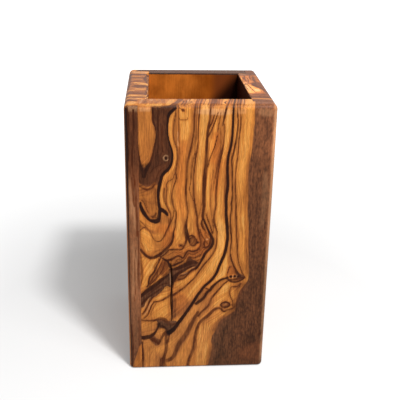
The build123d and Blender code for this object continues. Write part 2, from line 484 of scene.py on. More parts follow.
      (41.7, 85.5), (41.9, 82.5), (41.8, 80), (41.6, 78), (41.7, 76), (41.6, 74), (41.4, 72.3), (41.5, 70),
      (41.6, 68), (41.8, 65.8), (42, 63.5), (42.2, 61), (42, 58.6), (41.9, 56.4), (42.1, 54.6), (42.5, 53),
      (43, 51.4), (43.6, 49.9), (44.3, 48.5), (45, 47.1), (45.7, 46), (46.4, 45.1)]),
    (0.85, 0.7, [0.5, 0.5, 0.45, 0.5, 0.5, 0.6, 0.8, 0.6, 0.6, 0.6, 0.6],
     [(43.8, 128), (43.6, 118), (43.7, 115), (43.9, 112), (43.9, 109), (43.7, 106.5), (43.5, 104),
      (43.5, 101), (43.4, 98), (43.2, 95.5), (42.9, 92.5), (42.8, 89.5), (42.9, 86), (43, 83), (43.3, 80),
      (43.5, 77), (43.6, 74), (43.8, 71.5), (44, 69), (44.1, 66), (44.3, 63), (44.6, 60), (44.8, 57.8),
      (44.9, 55.8), (45.1, 53.8), (45.5, 52), (46, 50.2), (46.5, 48.5), (47.1, 47), (47.8, 45.6),
      (48.3, 44.8)]),
    (0.5, 0, [0.3], [(44.8, 128), (44.7, 118), (44.4, 114), (44.3, 109)]),
    # the loop left of the middle
    (0.85, 0, [0.35, 0.4],
     [(18.9, 90.4), (18.5, 88.8), (17.6, 88), (16.6, 87.4), (16, 86.2), (16.1, 84.3), (15.9, 82),
      (15.8, 80), (16, 78)]),
    (0.75, -0.9, [0.3, 0.45, 0.4, 0.35],
     [(15, 84.5), (14.8, 82.2), (15, 79.8), (15.6, 77.8), (16.5, 75.8), (17.3, 74.1), (17.6, 72.2),
      (17.3, 70.2), (16.7, 68.4), (16, 66.8), (15.4, 65.2), (14.9, 63.9)]),
    (1.1, 0, [0.5, 0.6, 0.6, 0.8, 0.7, 0.6, 0.6, 0.7],
     [(19.9, 90.5), (19.6, 88), (19.1, 86.4), (18.6, 84.8), (18.2, 83), (18, 81), (18.2, 79), (18.6, 77.2),
      (19.2, 75.6), (19.8, 74), (19.7, 72), (19.5, 70), (19.4, 68), (18.9, 66), (18.7, 64)]),
    (0.5, 0, [0.4], [(18.4, 88.4), (17.8, 85.4), (17.4, 82), (17.5, 79), (18.2, 76.2), (18.8, 74)]),
    (1.6, 1.6, [0.8, 1.1, 1.3, 1.4, 1.5, 1.4, 1.2, 1.1],
     [(18.8, 65), (18.6, 62.8), (18, 61), (17.2, 59.6), (16.3, 58.5), (15.1, 57.3), (13.9, 56.2),
      (12.8, 55.3), (11.6, 54.6), (10.4, 54.1), (9.2, 54.2), (8.2, 54.8), (7.2, 55.7), (6.3, 56.7),
      (5.6, 57.8)]),
    (0.85, 0, [0.4, 0.5, 0.5, 0.4],
     [(5.3, 71), (6.4, 69.8), (7.6, 68.4), (8.8, 66.8), (9.8, 65), (10.4, 63.4), (11.2, 62.1), (12.4, 61.5),
      (13.7, 61.9), (14.6, 63.2), (15.4, 65), (16.4, 67.2), (17.4, 69.2), (18.2, 71.2), (18.7, 73.2),
      (18.9, 75.4)]),
    (0.6, 0, [0.3], [(16.2, 66.6), (17, 68.6), (17.6, 70.4), (17.9, 72.4)]),
    (0.8, 0, [0.4, 0.5, 0.5], [(5.4, 66.2), (5.9, 67.1), (6.9, 67.8), (7.9, 67.6), (8.7, 66.7)]),
    (0.7, 0, [0.4], [(5.4, 70), (5.4, 66), (5.5, 63), (5.9, 60.8), (6.4, 59)]),
    (0.45, 0, [0.4], [(17, 63), (15.4, 60), (13.2, 57.8), (11, 57)]),
    # wavy lines under the knots
    (1.5, 0, [0.7, 0.8, 0.9, 0.8, 0.7],
     [(23, 59.6), (22.7, 58.5), (21.8, 57.8), (20, 57.8), (18.4, 57.8), (17, 57.7), (16.2, 56.9),
      (15.4, 56), (14.5, 55.1), (13.4, 54.5)]),
    (1.5, 0, [0.7, 0.8, 0.7, 0.6, 0.7, 0.9, 0.7, 1.1, 1.2, 0.8],
     [(29.2, 58), (27.9, 57.2), (26.4, 56.9), (24.9, 57.3), (24.2, 56.7), (23.7, 55.7), (23.2, 54.6),
      (22.6, 53.8), (21.9, 54.3), (21, 54.8), (20, 54.7), (19, 54), (17.8, 53.2), (16.4, 52.9),
      (15.2, 53.2), (14.3, 54)]),
    (0.9, 0, [0.4, 0.5, 0.4],
     [(28.6, 56.4), (27.4, 55.6), (26.2, 55.4), (25, 55.9), (24.2, 55), (23.6, 53.8), (22.6, 52.8),
      (21.2, 53.4), (19.8, 52.8)]),
    (1.1, 0, [0.5, 0.6, 0.5],
     [(29.6, 55.4), (28.4, 54.4), (27.2, 53.8), (26, 53.9), (25.2, 54.4), (24.6, 53.4), (24.1, 52)]),
    (0.9, 0, [0.4, 0.5], [(29.2, 53), (28, 52.4), (26.8, 52.6), (25.8, 52.2), (24.8, 51.2)]),
    (0.7, 0, [0.4], [(22.8, 52.4), (21.4, 52), (20.2, 52.4), (19.2, 51.6), (18.6, 50.4)]),
    (0.7, 0, [0.35], [(22, 56.6), (20.6, 56.2), (19, 56.6), (17.6, 56), (16.4, 55.2)]),
    (0.6, 0, [0.3], [(32.8, 64.6), (32, 63.4), (31.4, 62), (30.8, 60.6), (30.4, 59), (29.8, 57.6)]),
    (0.8, 0, [0.4], [(31.6, 66), (31.6, 64.4), (32.4, 62.9), (33.4, 62.3)]),
    (1.4, 0, [0.5, 1.2, 1.2, 0.8], [(33.6, 64), (33.9, 62.4), (33.8, 61), (33, 58.8)]),
    (1.3, 0, [0.6, 1.2, 0.8], [(33.4, 59.6), (32.2, 58.6), (31, 58.6)]),
    (1.2, 0, [0.5, 0.9, 0.5], [(31.4, 61.6), (31, 60.2), (31.4, 59)]),
    (0.8, 0, [0.4, 0.5], [(31.8, 58.2), (30.8, 57.2), (30.2, 55.8), (29.4, 54.4)]),
    # streaks along the underside of the dark mass
    (1.6, 0, [0.7, 0.8, 0.7, 0.6, 0.5],
     [(29, 50.6), (28, 49.3), (26.9, 48.5), (25.8, 47.8), (24.8, 46.4), (23.8, 45), (22.6, 44.1),
      (21, 43.9)]),
    (1.4, 0, [0.5, 0.5, 0.4], [(26.6, 48.8), (25.4, 47.6), (24.2, 46.6), (23, 46), (21.6, 45.8)]),
    (1.5, 0, [0.8, 2.2, 2.0, 1.4, 1.0],
     [(28.6, 51.6), (25.6, 51.6), (22.4, 50), (19.4, 48.8), (17.4, 48.6)]),
    (1.4, 0, [0.5, 1.0, 1.4, 1.0], [(27.4, 50.4), (24.6, 49.2), (22, 47.6), (19.4, 46)]),
    (1.6, 0, [1.0, 2.2, 1.8, 1.0], [(20.8, 47), (19.4, 45.2), (18.6, 43), (18.3, 40.4)]),
    (1.6, 0, [1.0, 1.8, 2.2, 1.6], [(16.8, 46.2), (14, 44), (11, 41.2), (8, 38.8), (5.4, 36.4)]),
    (1.4, 0, [0.6, 1.0, 1.2], [(14, 40), (11, 37.6), (8, 35.4), (5.6, 32.4)]),
    (1.2, 0, [0.5, 0.8, 0.6], [(17, 42.4), (14, 41.6), (11, 39.4), (8.4, 37)]),
    (1.6, 0, [0.6, 1.2, 1.0], [(22.6, 52.4), (20.6, 51.4), (18.4, 50.4)]),
    # left of the dark mass
    (1.6, 0, [0.5, 0.6, 0.9, 1.0, 0.7, 0.6],
     [(13.7, 54.3), (13.1, 53), (12.6, 51.8), (12, 50.6), (11.5, 49.4), (11, 48), (10.4, 46.9), (9.6, 46),
      (9, 44.9), (8.7, 43.6), (8.6, 42.4), (8.3, 41.3), (7.8, 40.6)]),
    (0.8, 0, [0.5, 0.4], [(13, 53.8), (12, 52), (11.1, 50.6), (10.9, 49.2)]),
    (1.1, 0, [0.5, 0.5, 0.5, 0.4],
     [(14.5, 53.6), (13.9, 51.8), (13.1, 50), (12.2, 48), (11.2, 46.2), (10.2, 44.6), (9.4, 43),
      (9, 41.8)]),
    (0.9, 0, [0.4, 0.5, 0.4], [(15.4, 52.4), (14.9, 50.4), (14.2, 48.4), (13.2, 46.6), (12, 45.2)]),
    (1.0, 0, [0.4, 0.6, 0.5],
     [(12.6, 48.4), (12.2, 46.6), (11.8, 45), (11, 43.8), (10.2, 42.8), (9.4, 41.8), (8.8, 40.9)]),
    (0.6, 0, [0.35], [(14.4, 50.6), (13.4, 48.6), (13.2, 46.8), (12.6, 45.2)]),
    (0.8, 0, [0.5, 0.6, 0.7, 0.5], [(5.5, 56), (5.7, 52), (5.9, 49), (6, 46.5), (5.8, 44), (5.5, 42)]),
    (1.8, 0, [0.9, 1.2, 1.0, 0.8], [(17.9, 48.6), (17.3, 50.4), (16.5, 52.2), (15.2, 53.2)]),
    # under the dark mass
    (1.25, 0, [1.2, 1.0, 0.9, 0.8, 0.6],
     [(17.7, 36.6), (16.6, 35.8), (15.4, 35), (14.2, 34.2), (13, 33.7), (11.8, 33.4), (10.6, 33.4)]),
    (1.3, 0, [0.5, 0.8, 0.7, 0.5],
     [(10.8, 36.2), (9.5, 34.6), (8.6, 33), (7.8, 31), (6.8, 29), (5.9, 27.6)]),
    (1.0, 0, [0.6, 0.7, 0.6, 0.5],
     [(10.9, 33.3), (9.9, 32), (9.2, 30.2), (8.6, 28.4), (7.8, 26.8), (6.4, 25.4)]),
    (0.7, 0, [0.4], [(11.6, 32.6), (10.7, 31), (10, 29.2), (9.2, 27.4)]),
    # dark line under the long check
    (1.8, 0, [0.4, 0.5, 0.6, 0.7, 0.9, 0.8, 0.5],
     [(17.9, 46), (18, 43), (18.1, 40), (18.2, 37), (18.3, 34), (18.3, 31), (18.2, 28), (18.2, 25.5),
      (18.1, 24.2)]),
    # lower left
    (1.2, 0, [0.8, 0.9, 1.2, 2.0, 1.6],
     [(5.2, 24.6), (6.6, 24.3), (8, 24.2), (9.6, 24.2), (11.2, 24.4), (12.6, 24.9), (14, 25), (15.2, 24.4),
      (16, 23.6), (16.9, 22.4)]),
    (1.2, 0, [1.0, 2.0, 1.2], [(8.6, 15.6), (10.4, 14.6), (12, 13)]),
    (1.5, 0, [0.8, 1.6, 1.2, 0.6], [(12.2, 22.4), (13.6, 21.4), (15, 20.8), (16.2, 19.6)]),
    (1.4, 0, [0.8, 1.4, 1.0], [(14.6, 24.2), (16.4, 23), (18, 22), (19.6, 22.4)]),
    (1.7, 0, [2.0, 2.4, 1.8, 1.0, 0.9, 1.2],
     [(5.3, 15.8), (6.6, 15.7), (8, 16), (9.4, 16.6), (10.6, 17.6), (11.4, 18.8), (12, 20), (12.4, 21.4),
      (12.8, 22.6)]),
    (1.3, 0, [1.6, 1.3, 1.2, 1.0],
     [(15.8, 18.5), (14.9, 17.5), (14.2, 16.2), (13.6, 15), (13.1, 13.6), (12.5, 12.4)]),
    (1.1, 1.2, [1.0, 1.2, 1.4, 1.4, 2.2, 3.4],
     [(15.8, 17), (15.9, 14.4), (15.9, 12), (15.8, 9.8), (15.4, 7.6), (14.9, 5.6), (14.5, 3.8), (14.4, 2),
      (14.4, 0)]),
    (1.2, 0, [0.7, 0.5], [(17.2, 17.8), (16.9, 15.4), (16.5, 12.8), (16.2, 10.8)]),
    (0.9, 0, [0.7, 0.8], [(13.6, 5), (13.2, 3), (13.2, 1), (13.2, 0)]),
    (0.7, 0, [1.4, 2.0, 2.2, 2.0, 2.0, 2.2],
     [(29.2, 28), (28, 25.6), (26.8, 23), (25.6, 20.2), (24.5, 17.6), (23.2, 15.2), (21.8, 13), (20.8, 11),
      (20, 8.6), (19.3, 6.4), (18.2, 4.8), (16.8, 3.9), (15.2, 3.4)]),
    (0.8, 1.2, [0.9, 1.4, 1.6, 1.8, 1.5, 1.4, 1.5, 1.7, 1.8, 1.7, 1.6, 1.6],
     [(39.2, 29.2), (38, 29.7), (36.6, 29.4), (35.4, 28.5), (34.3, 27.1), (33.2, 25.8), (32, 24.8),
      (31, 23.8), (30, 22.6), (29.4, 21.2), (28.9, 19.6), (28.5, 17.8), (28.2, 15.4), (28.1, 13),
      (27.8, 10.6), (27.2, 8.4), (26.5, 6.2), (25.8, 4), (25.4, 1.8), (25.2, 0)]),
    (1.3, 0, [0.7, 0.9, 0.7],
     [(38.8, 31), (39.4, 30.3), (40.6, 30), (41.9, 30.3), (42.5, 31.2), (42, 32.3), (40.8, 32.7),
      (39.4, 32.4), (38.8, 31.4)]),
    (1.1, 0, [0.9, 1.0, 0.6],
     [(39, 29.2), (39.9, 28.2), (40.7, 28.1), (41.6, 28.8), (43, 29.2), (44.4, 29.9), (44.6, 30.8)]),
    (0.45, 0, [0.5], [(8.4, 11), (8.8, 7), (8.6, 3), (8.4, 0)]),
    (1.1, 0, [0.9, 1.4, 1.6, 1.2], [(5.4, 13.4), (5.5, 9), (5.6, 5), (5.5, 0)]),
    # from the knots at the right edge, down to the left
    (1.7, 0, [0.6, 1.4, 1.6, 1.2, 0.7],
     [(23.8, 69), (23.9, 66.4), (24.3, 64.2), (24.8, 62.8), (25.2, 60.8)]),
    (1.0, 0, [0.6, 0.9, 0.6], [(25, 63.6), (26.2, 64), (27.4, 63.4)]),
    (1.2, 0, [0.5, 0.8, 1.5, 1.3, 0.4],
     [(42, 43.6), (43.6, 43.5), (45.4, 43.9), (46.8, 44.3), (48.4, 44.5)]),
    (1.2, 0, [0.4, 0.9, 0.6], [(44.2, 47.6), (45, 46.4), (46.4, 45.2)]),
    (1.9, 0, [0.6, 1.4, 1.6, 1.0], [(9, 71.4), (10.4, 70.8), (11.8, 70.8), (13, 71.8)]),
    (1.7, 0, [0.6, 1.1, 1.2], [(12.9, 76), (12.9, 73.6), (12.5, 71.6)]),
    (2, 0, [0.6, 1.6, 0.8], [(15.2, 74.4), (15.8, 73.9), (16.2, 73.2)]),
    (1.75, 1.2, [0.7, 1.2, 1.0, 1.0, 1.4, 1.4, 1.1, 1.2, 1.4, 1.5, 1.5],
     [(41, 44.3), (40, 44), (38.8, 43.6), (37.6, 42.8), (36.6, 41.9), (35.6, 40.9), (34.8, 39.9),
      (34.3, 38.8), (33.4, 38), (32.6, 37), (32, 35.8), (31.3, 34.7), (30.3, 33.7), (29.3, 32.9),
      (28.4, 32.2)]),
    (1.2, 0, [0.5, 0.8], [(31.4, 39.9), (32.6, 39.4), (33.8, 38.9)]),
    (0.95, 0.8, [0.5, 0.7, 0.9, 0.9, 1.0, 1.0, 1.0],
     [(41.8, 43.2), (40.9, 42.4), (39.8, 41.4), (38.8, 40.1), (37.8, 38.8), (36.8, 37.5), (35.8, 36.2),
      (34.9, 34.8), (34.4, 33.3), (33.9, 31.8), (33, 30.4), (31.8, 29.1), (30.6, 27.8), (29.4, 26)]),
    (1.15, 0, [0.6, 0.6, 0.5],
     [(46.8, 41.6), (45.7, 40.3), (44.4, 40), (43.2, 40.1), (42.5, 39), (42.3, 37.6), (42.5, 36.2),
      (43, 34.8), (43.5, 33.4), (43.9, 32)]),
    (0.6, 0, [0.5], [(46.6, 40.2), (45.4, 39.2), (44.7, 38)]),
    # knots at the right edge
    (1.6, 0, [0.8, 1.0, 1.1, 0.9, 0.7],
     [(41.2, 44.7), (41.5, 43.5), (42.6, 42.7), (44, 42.3), (45.6, 42.5), (47, 43.2), (48.3, 44.2)]),
    (1.0, 0, [0.5, 0.4], [(41.9, 49.6), (41.3, 47.6), (41, 45.8), (41.2, 44.4)]),
    (1.5, 0, [0.4, 0.7, 0.6], [(45.6, 44.5), (46.6, 44.5), (47.8, 44.3)]),
]

FRONT_STROKES = [
    (0.8, [5.0, 7.0, 5.0], [(5, 123.4), (10, 123.4), (15.4, 123.6)]),
    # golden along the rounded front edge of the rim: a painted highlight where it faces the lamp
    (-1.0, [2.0], [(6, 118.4), (10, 118.6), (15, 118.4)]),
    (-1.6, [2.0], [(16.6, 118.6), (16.8, 122), (17.2, 126)]),
    (0.7, [1.6], [(33.6, 119), (33.8, 128)]),
    (-1.6, [2.4], [(37.2, 119), (37.4, 127)]),
    (-1.6, [1.8], [(30.4, 119), (30.6, 127)]),
    (-1.4, [3.0], [(25, 119), (25.4, 127)]),
    (-1.0, [1.2], [(40.6, 119), (40.8, 127)]),
    (-1.2, [3.6], [(46.6, 119), (46.6, 128)]),
    (-0.8, [1.0, 1.6, 1.4, 1.3, 1.2, 1.0, 1.2, 1.1, 1.0],
     [(18.8, 115.6), (17.5, 112), (17.4, 108), (17.8, 104.5), (18.7, 101.5), (19.2, 98.5), (18.9, 95.5),
      (18.1, 93), (16.7, 91), (15.4, 89), (14.5, 86.5), (13.9, 83.5), (13.9, 80), (14.7, 77.6),
      (15.9, 76)]),
    (-0.7, [1.2], [(17.1, 87), (17, 84), (16.9, 81), (17, 78.5), (17.7, 76.3)]),
    (-0.8, [3.6, 3.4, 2.6], [(22.6, 118), (22.9, 111), (22.8, 107), (22.5, 103.6)]),
    (-0.3, [1.6], [(25.2, 118), (25.3, 112), (25, 107)]),
    (-0.8, [2.6, 3.0, 3.0, 2.6, 2.2, 1.8],
     [(30.3, 128), (30.1, 118), (30, 112), (29.8, 106), (29.6, 100), (29.1, 95), (28.8, 90), (28.6, 85),
      (28.7, 80)]),
    (-0.6, [0.6], [(27.5, 112), (27.5, 106), (27.3, 102)]),
    (-0.6, [2.0, 2.4], [(33.4, 105), (33, 101), (32.6, 97)]),
    (-0.8, [1.6, 2.2, 1.8, 1.4],
     [(33.4, 97.5), (32.9, 91), (32.4, 86), (32.1, 81), (32.2, 77), (32.6, 73.6)]),
    (-0.6, [0.8], [(34.2, 84), (34.1, 80), (34.3, 76)]),
    (-0.6, [1.0, 1.2, 1.0], [(34.6, 107), (34.6, 110), (34.9, 112.6)]),
    (-0.95, [2.2, 2.6, 2.8, 2.6], [(39.4, 118), (39.3, 112), (39, 107), (38.6, 103), (38.2, 99), (38, 95)]),
    (-0.35, [2.8], [(38, 96), (37.6, 90), (37.4, 84), (37.4, 78), (37.4, 73)]),
    (-0.72, [2.0, 3.4, 4.0, 4.0, 4.4, 4.4, 3.4, 2.6, 2.2, 1.6],
     [(36.8, 74), (37.6, 69.5), (38.3, 64), (38.3, 59), (37.4, 55), (35.9, 51.5), (34, 48.4), (32.3, 46),
      (30.6, 43.4), (28.6, 40.6), (26.6, 37.4), (24.8, 34), (23.2, 31)]),
    (-0.5, [0.9], [(42, 111), (41.9, 107), (41.6, 103.6)]),
    (-0.5, [0.8], [(42.4, 100), (42.2, 96), (42.2, 90)]),
    (-0.4, [3.4, 3.6, 3.4, 2.8, 2.6],
     [(46.6, 128), (46.6, 118), (46.3, 110), (45.8, 102), (45.2, 95), (45, 88), (45.2, 81)]),
    (-0.55, [2.0, 2.2, 1.8], [(46.2, 74), (46.4, 68), (46.6, 62), (46.9, 56), (47.3, 50.6)]),
    (-0.7, [1.0, 2.4, 3.2, 2.8, 1.8],
     [(40.8, 57), (40, 53), (39.5, 49.4), (38.8, 46.6), (37.6, 44.8), (36, 43)]),
    (-0.75, [2.0, 3.6, 4.0, 3.0, 2.0],
     [(41.6, 42), (40.2, 39), (39.2, 36.4), (38.2, 34), (36.8, 31.8), (35.4, 30.4)]),
    (-0.6, [1.0], [(43.6, 38.6), (43.4, 36.6), (43.8, 34.4)]),
    (-0.5, [2.0, 3.0, 2.4], [(41.6, 27), (38.8, 27.2), (36.8, 25.6), (34.8, 23)]),
    (-0.75, [2.6, 4.0, 4.4, 4.4, 4.0],
     [(34.4, 22.6), (32, 19.5), (31.2, 16.5), (31.4, 10), (31, 4), (30.6, -3)]),
    (-0.6, [2.0, 3.4, 3.0, 1.4], [(27.8, 47.6), (25.4, 44.8), (22.6, 42.4), (19.6, 40.8)]),
    (-0.3, [1.6], [(29.2, 72), (29.6, 70.4), (29.3, 68)]),
    (-0.5, [0.7, 0.9, 0.7], [(13.1, 52), (12.3, 49.8), (11.2, 47.4), (10, 45.4), (9, 43.4)]),
    (-0.5, [0.6, 0.9, 0.6], [(14, 49.8), (13, 47.6), (11.8, 45.8), (10.6, 44)]),
    (-0.4, [1.6, 1.8, 1.4], [(26, 77), (26, 72), (25.8, 68), (26.6, 64.8)]),
    (-0.3, [1.8], [(21.4, 71), (20.9, 66), (20.6, 62)]),
    (-0.25, [2.2, 2.8, 3.0, 2.4], [(22.6, 101), (22, 95), (21.8, 89), (21.9, 83), (21.7, 77), (22, 72)]),
    (0.4, [1.2, 1.6, 1.6, 1.4], [(36.3, 109), (36.2, 104), (36, 100), (35.6, 96), (34.9, 92), (34.4, 88)]),
    (0.6, [1.6, 1.6, 1.2], [(33.2, 128), (33, 118), (32.9, 113), (32.6, 110)]),
    (0.5, [1.6, 1.6, 1.2], [(27.5, 128), (27.4, 118), (27.3, 112), (27.1, 107), (26.8, 103)]),
    (0.5, [1.0], [(26.2, 98), (25.2, 93), (24.7, 88)]),
    (0.4, [1.0, 1.3], [(42.3, 88), (42.6, 82), (42.8, 76), (43, 71), (43.2, 66)]),
    (0.5, [0.9], [(38.9, 90), (38.9, 85), (38.9, 80)]),
    (0.6, [1.6, 1.4], [(41.6, 55), (41.9, 51.4), (42.6, 49)]),
    (0.6, [1.0, 1.6, 1.8, 1.6], [(47.7, 100), (47.4, 94), (47.2, 88), (47.4, 80), (47.7, 74)]),
    (0.7, [1.4, 1.4, 1.6], [(48.7, 64), (48.7, 56), (49, 50), (49.2, 45)]),
    (0.8, [1.6, 2.4, 2.6], [(35.4, 14), (35.6, 10), (35, 6), (34.6, 2), (34.4, 0)]),
    (0.9, [1.6, 3.0, 2.4, 1.8], [(49, 43), (47, 39.6), (45.4, 35), (45, 31)]),
    (0.9, [1.8, 2.8, 3.0], [(45.2, 33), (44.4, 29.6), (41.8, 26.2), (39, 23.8), (37.4, 20.2), (35.8, 17)]),
    (0.9, [1.4, 2.0, 2.8, 2.2, 1.6, 1.8],
     [(28.8, 27.2), (26.4, 22.2), (24.6, 17.8), (23.2, 15.2), (21.6, 12.6), (20.4, 9.6), (19.4, 6.6),
      (18, 4.6), (15.4, 3.4)]),
    (0.7, [1.4, 1.6, 1.2], [(19.3, 36), (19.4, 32), (19.4, 28), (19, 25)]),
    (0.6, [1.2, 1.2], [(17.2, 39), (17.2, 34), (17, 29), (16.8, 26)]),
]

FRONT_TONES = [
    (0.6, 3.0, [(48, 9), (52, 12.4), (58, 11.6), (58, 3), (51, 3), (47, 5)]),
    (0.4, 1.0, [(4.6, 118), (10.6, 118), (12, 106), (10, 97), (7, 93), (5.4, 98), (4.6, 106)]),
    (1.0, 1.0, [(11, 118), (12.4, 106), (10, 95.4), (6.6, 93), (5, 96), (5, 86), (12, 86), (14.6, 90),
                (18, 95), (18, 99), (16.4, 105), (16.6, 113), (19, 118)]),
    (0.6, 1.6, [(5, 84.6), (8.4, 84.4), (11.4, 85.6), (12.4, 83), (12.2, 78), (12.6, 73), (11.6, 70.8),
                (9.6, 71.6), (7.6, 75), (6, 79), (5, 80.6)]),
    (0.5, 1.6, [(10.6, 69.6), (13.2, 69.8), (15.6, 71.6), (17.4, 71.4), (18.6, 68), (18, 62.6),
                (16.4, 59.6), (13.4, 57), (10.4, 56), (11, 58.4), (11.2, 61), (10.6, 63.6), (9.8, 66.4)]),
    (0.9, 1.2, [(12, 69.4), (13.4, 71), (14.6, 73.4), (16.4, 72.4), (17.2, 70.6), (15, 69)]),
    (-0.75, 1.4, [(6, 66.6), (7, 67.4), (8.2, 66.8), (9.4, 64.6), (10.2, 62), (10.6, 59), (9.6, 57.2),
                  (8, 57.2), (6.6, 58.8), (5.8, 62)]),
    (-0.6, 1.4, [(5.9, 55), (8, 54), (11.4, 53.6), (12.4, 52.6), (10.8, 50), (10.4, 47.6), (8.6, 45.4),
                 (8, 42), (6.8, 40.6), (5.6, 40.2), (5.9, 43), (6.5, 47)]),
    (1.5, 1.4, [(15, 53), (16.4, 51.6), (17, 49), (16.6, 46.8), (15.2, 45.6), (13.4, 46.2), (12.8, 48.4),
                (13.4, 51)]),
    (1.6, 1.2, [(13, 52.6), (12.4, 49.6), (12.8, 46.4), (11.6, 43.4), (9.4, 42.2), (9.2, 44.6),
                (10.6, 46.8), (11.8, 49.6)]),
    (0.5, 1.4, [(16.6, 57), (22, 57), (23, 55.4), (21.2, 55), (19.4, 54.6), (17, 53.4), (15, 53.6),
                (14.8, 55)]),
    (0.55, 1.6, [(17, 57.4), (23, 57), (29, 57.4), (32, 58), (32, 56), (29, 51), (22, 51), (17, 53)]),
    (0.9, 2.0, [(18.8, 37.4), (22, 37), (26, 33.4), (24, 28.6), (21, 26), (18.8, 26)]),
    (1.3, 1.2, [(28, 49.8), (26, 48.8), (24.4, 47.6), (22.8, 46.6), (20.8, 45.6), (19.4, 43.2),
                (20.4, 42.8), (22.4, 43.6), (24.4, 45.2), (26.6, 47.2), (28.6, 49)]),
    (0.7, 1.4, [(18, 53), (20.4, 53.8), (22.6, 53.2), (24, 52.4), (22.6, 51.4), (20, 50.6), (18.2, 49.6)]),
    (0.75, 1.4, [(23.4, 56.6), (26.4, 56.6), (29, 58), (31, 57), (30.4, 54.4), (29.2, 51.6), (27, 50.4),
                 (25, 50.6), (24, 53)]),
    (0.9, 1.4, [(30.6, 61.4), (32.6, 62.4), (34.4, 61.4), (33.8, 58.4), (31.6, 57), (30, 58)]),
    (0.4, 1.6, [(29.6, 70), (31.4, 68), (33.6, 64.6), (33.8, 62.8), (31, 61.6), (29.8, 63)]),
    (0.9, 1.2, [(41, 49.4), (43, 49.6), (44.8, 46.8), (44.6, 45.4), (43, 45.6), (41.2, 46)]),
    (-0.2, 0.6, [(41.8, 45.8), (43.4, 46), (45, 45.6), (44.8, 44.2), (43.2, 43.9), (41.9, 44.3)]),
    (0.8, 0.8, [(41.8, 44), (44, 43.6), (46.6, 44), (48, 44.4), (46.6, 43), (44, 42.4), (42, 43)]),
    (0.6, 1.4, [(43.6, 41.4), (46.6, 41.8), (48, 41), (46.4, 39.6), (44, 39.6)]),
    (-0.4, 1.8, [(8.4, 26), (10.4, 30), (12.6, 32), (15.6, 33.6), (16.6, 31), (16.2, 27), (15.6, 25.2),
                 (12, 25.6)]),
    (-0.6, 1.0, [(15.6, 40), (16.5, 38.8), (16.6, 37.2), (15.8, 36.2), (14, 35.2), (12, 34.6), (11.2, 34.8),
                 (12.8, 36), (14, 37.6), (14.8, 39.2)]),
    (0.4, 2.4, [(31.8, 38), (34, 37.4), (33.6, 33), (31.4, 29), (28.4, 24.4), (27, 25.6), (29.4, 31),
                (31, 35)]),
    (0.3, 1.4, [(37, 43), (40.6, 43.6), (39, 41), (36.4, 37.4), (34.6, 35.6), (34.6, 38.4)]),
    (2.4, 1.4, [(9, 14.8), (10.4, 16.4), (11.4, 15.4), (12.6, 14.8), (13.2, 13.6), (12.4, 12), (11.6, 11.6),
                (10.2, 13)]),
    (0.5, 1.0, [(5.4, 18.4), (9, 18.2), (11, 18.6), (9.4, 17.4), (5.4, 16.8)]),
    (0.75, 2.0, [(11, 8.6), (13, 7.2), (14.4, 5.4), (14.6, 0), (10.6, -1), (10.4, 4)]),
    (0.4, 2.6, [(18.6, 16), (20.6, 18.6), (22.6, 18), (21, 13.6), (19.4, 10), (18, 12)]),
    (1.0, 0.6, [(25.6, 61.2), (26.6, 62.9), (27.7, 61.4), (26.6, 59.9)]),
    (1.8, 0.8, [(38.5, 31.4), (40.6, 32.8), (42.7, 31.4), (40.6, 30)]),
    (0.9, 1.2, [(30.4, 38.4), (33, 39.4), (33.4, 38.2), (32, 36.4), (30.4, 34.2), (28.8, 32.8), (28, 34.4),
                (29.2, 36.6)]),
]

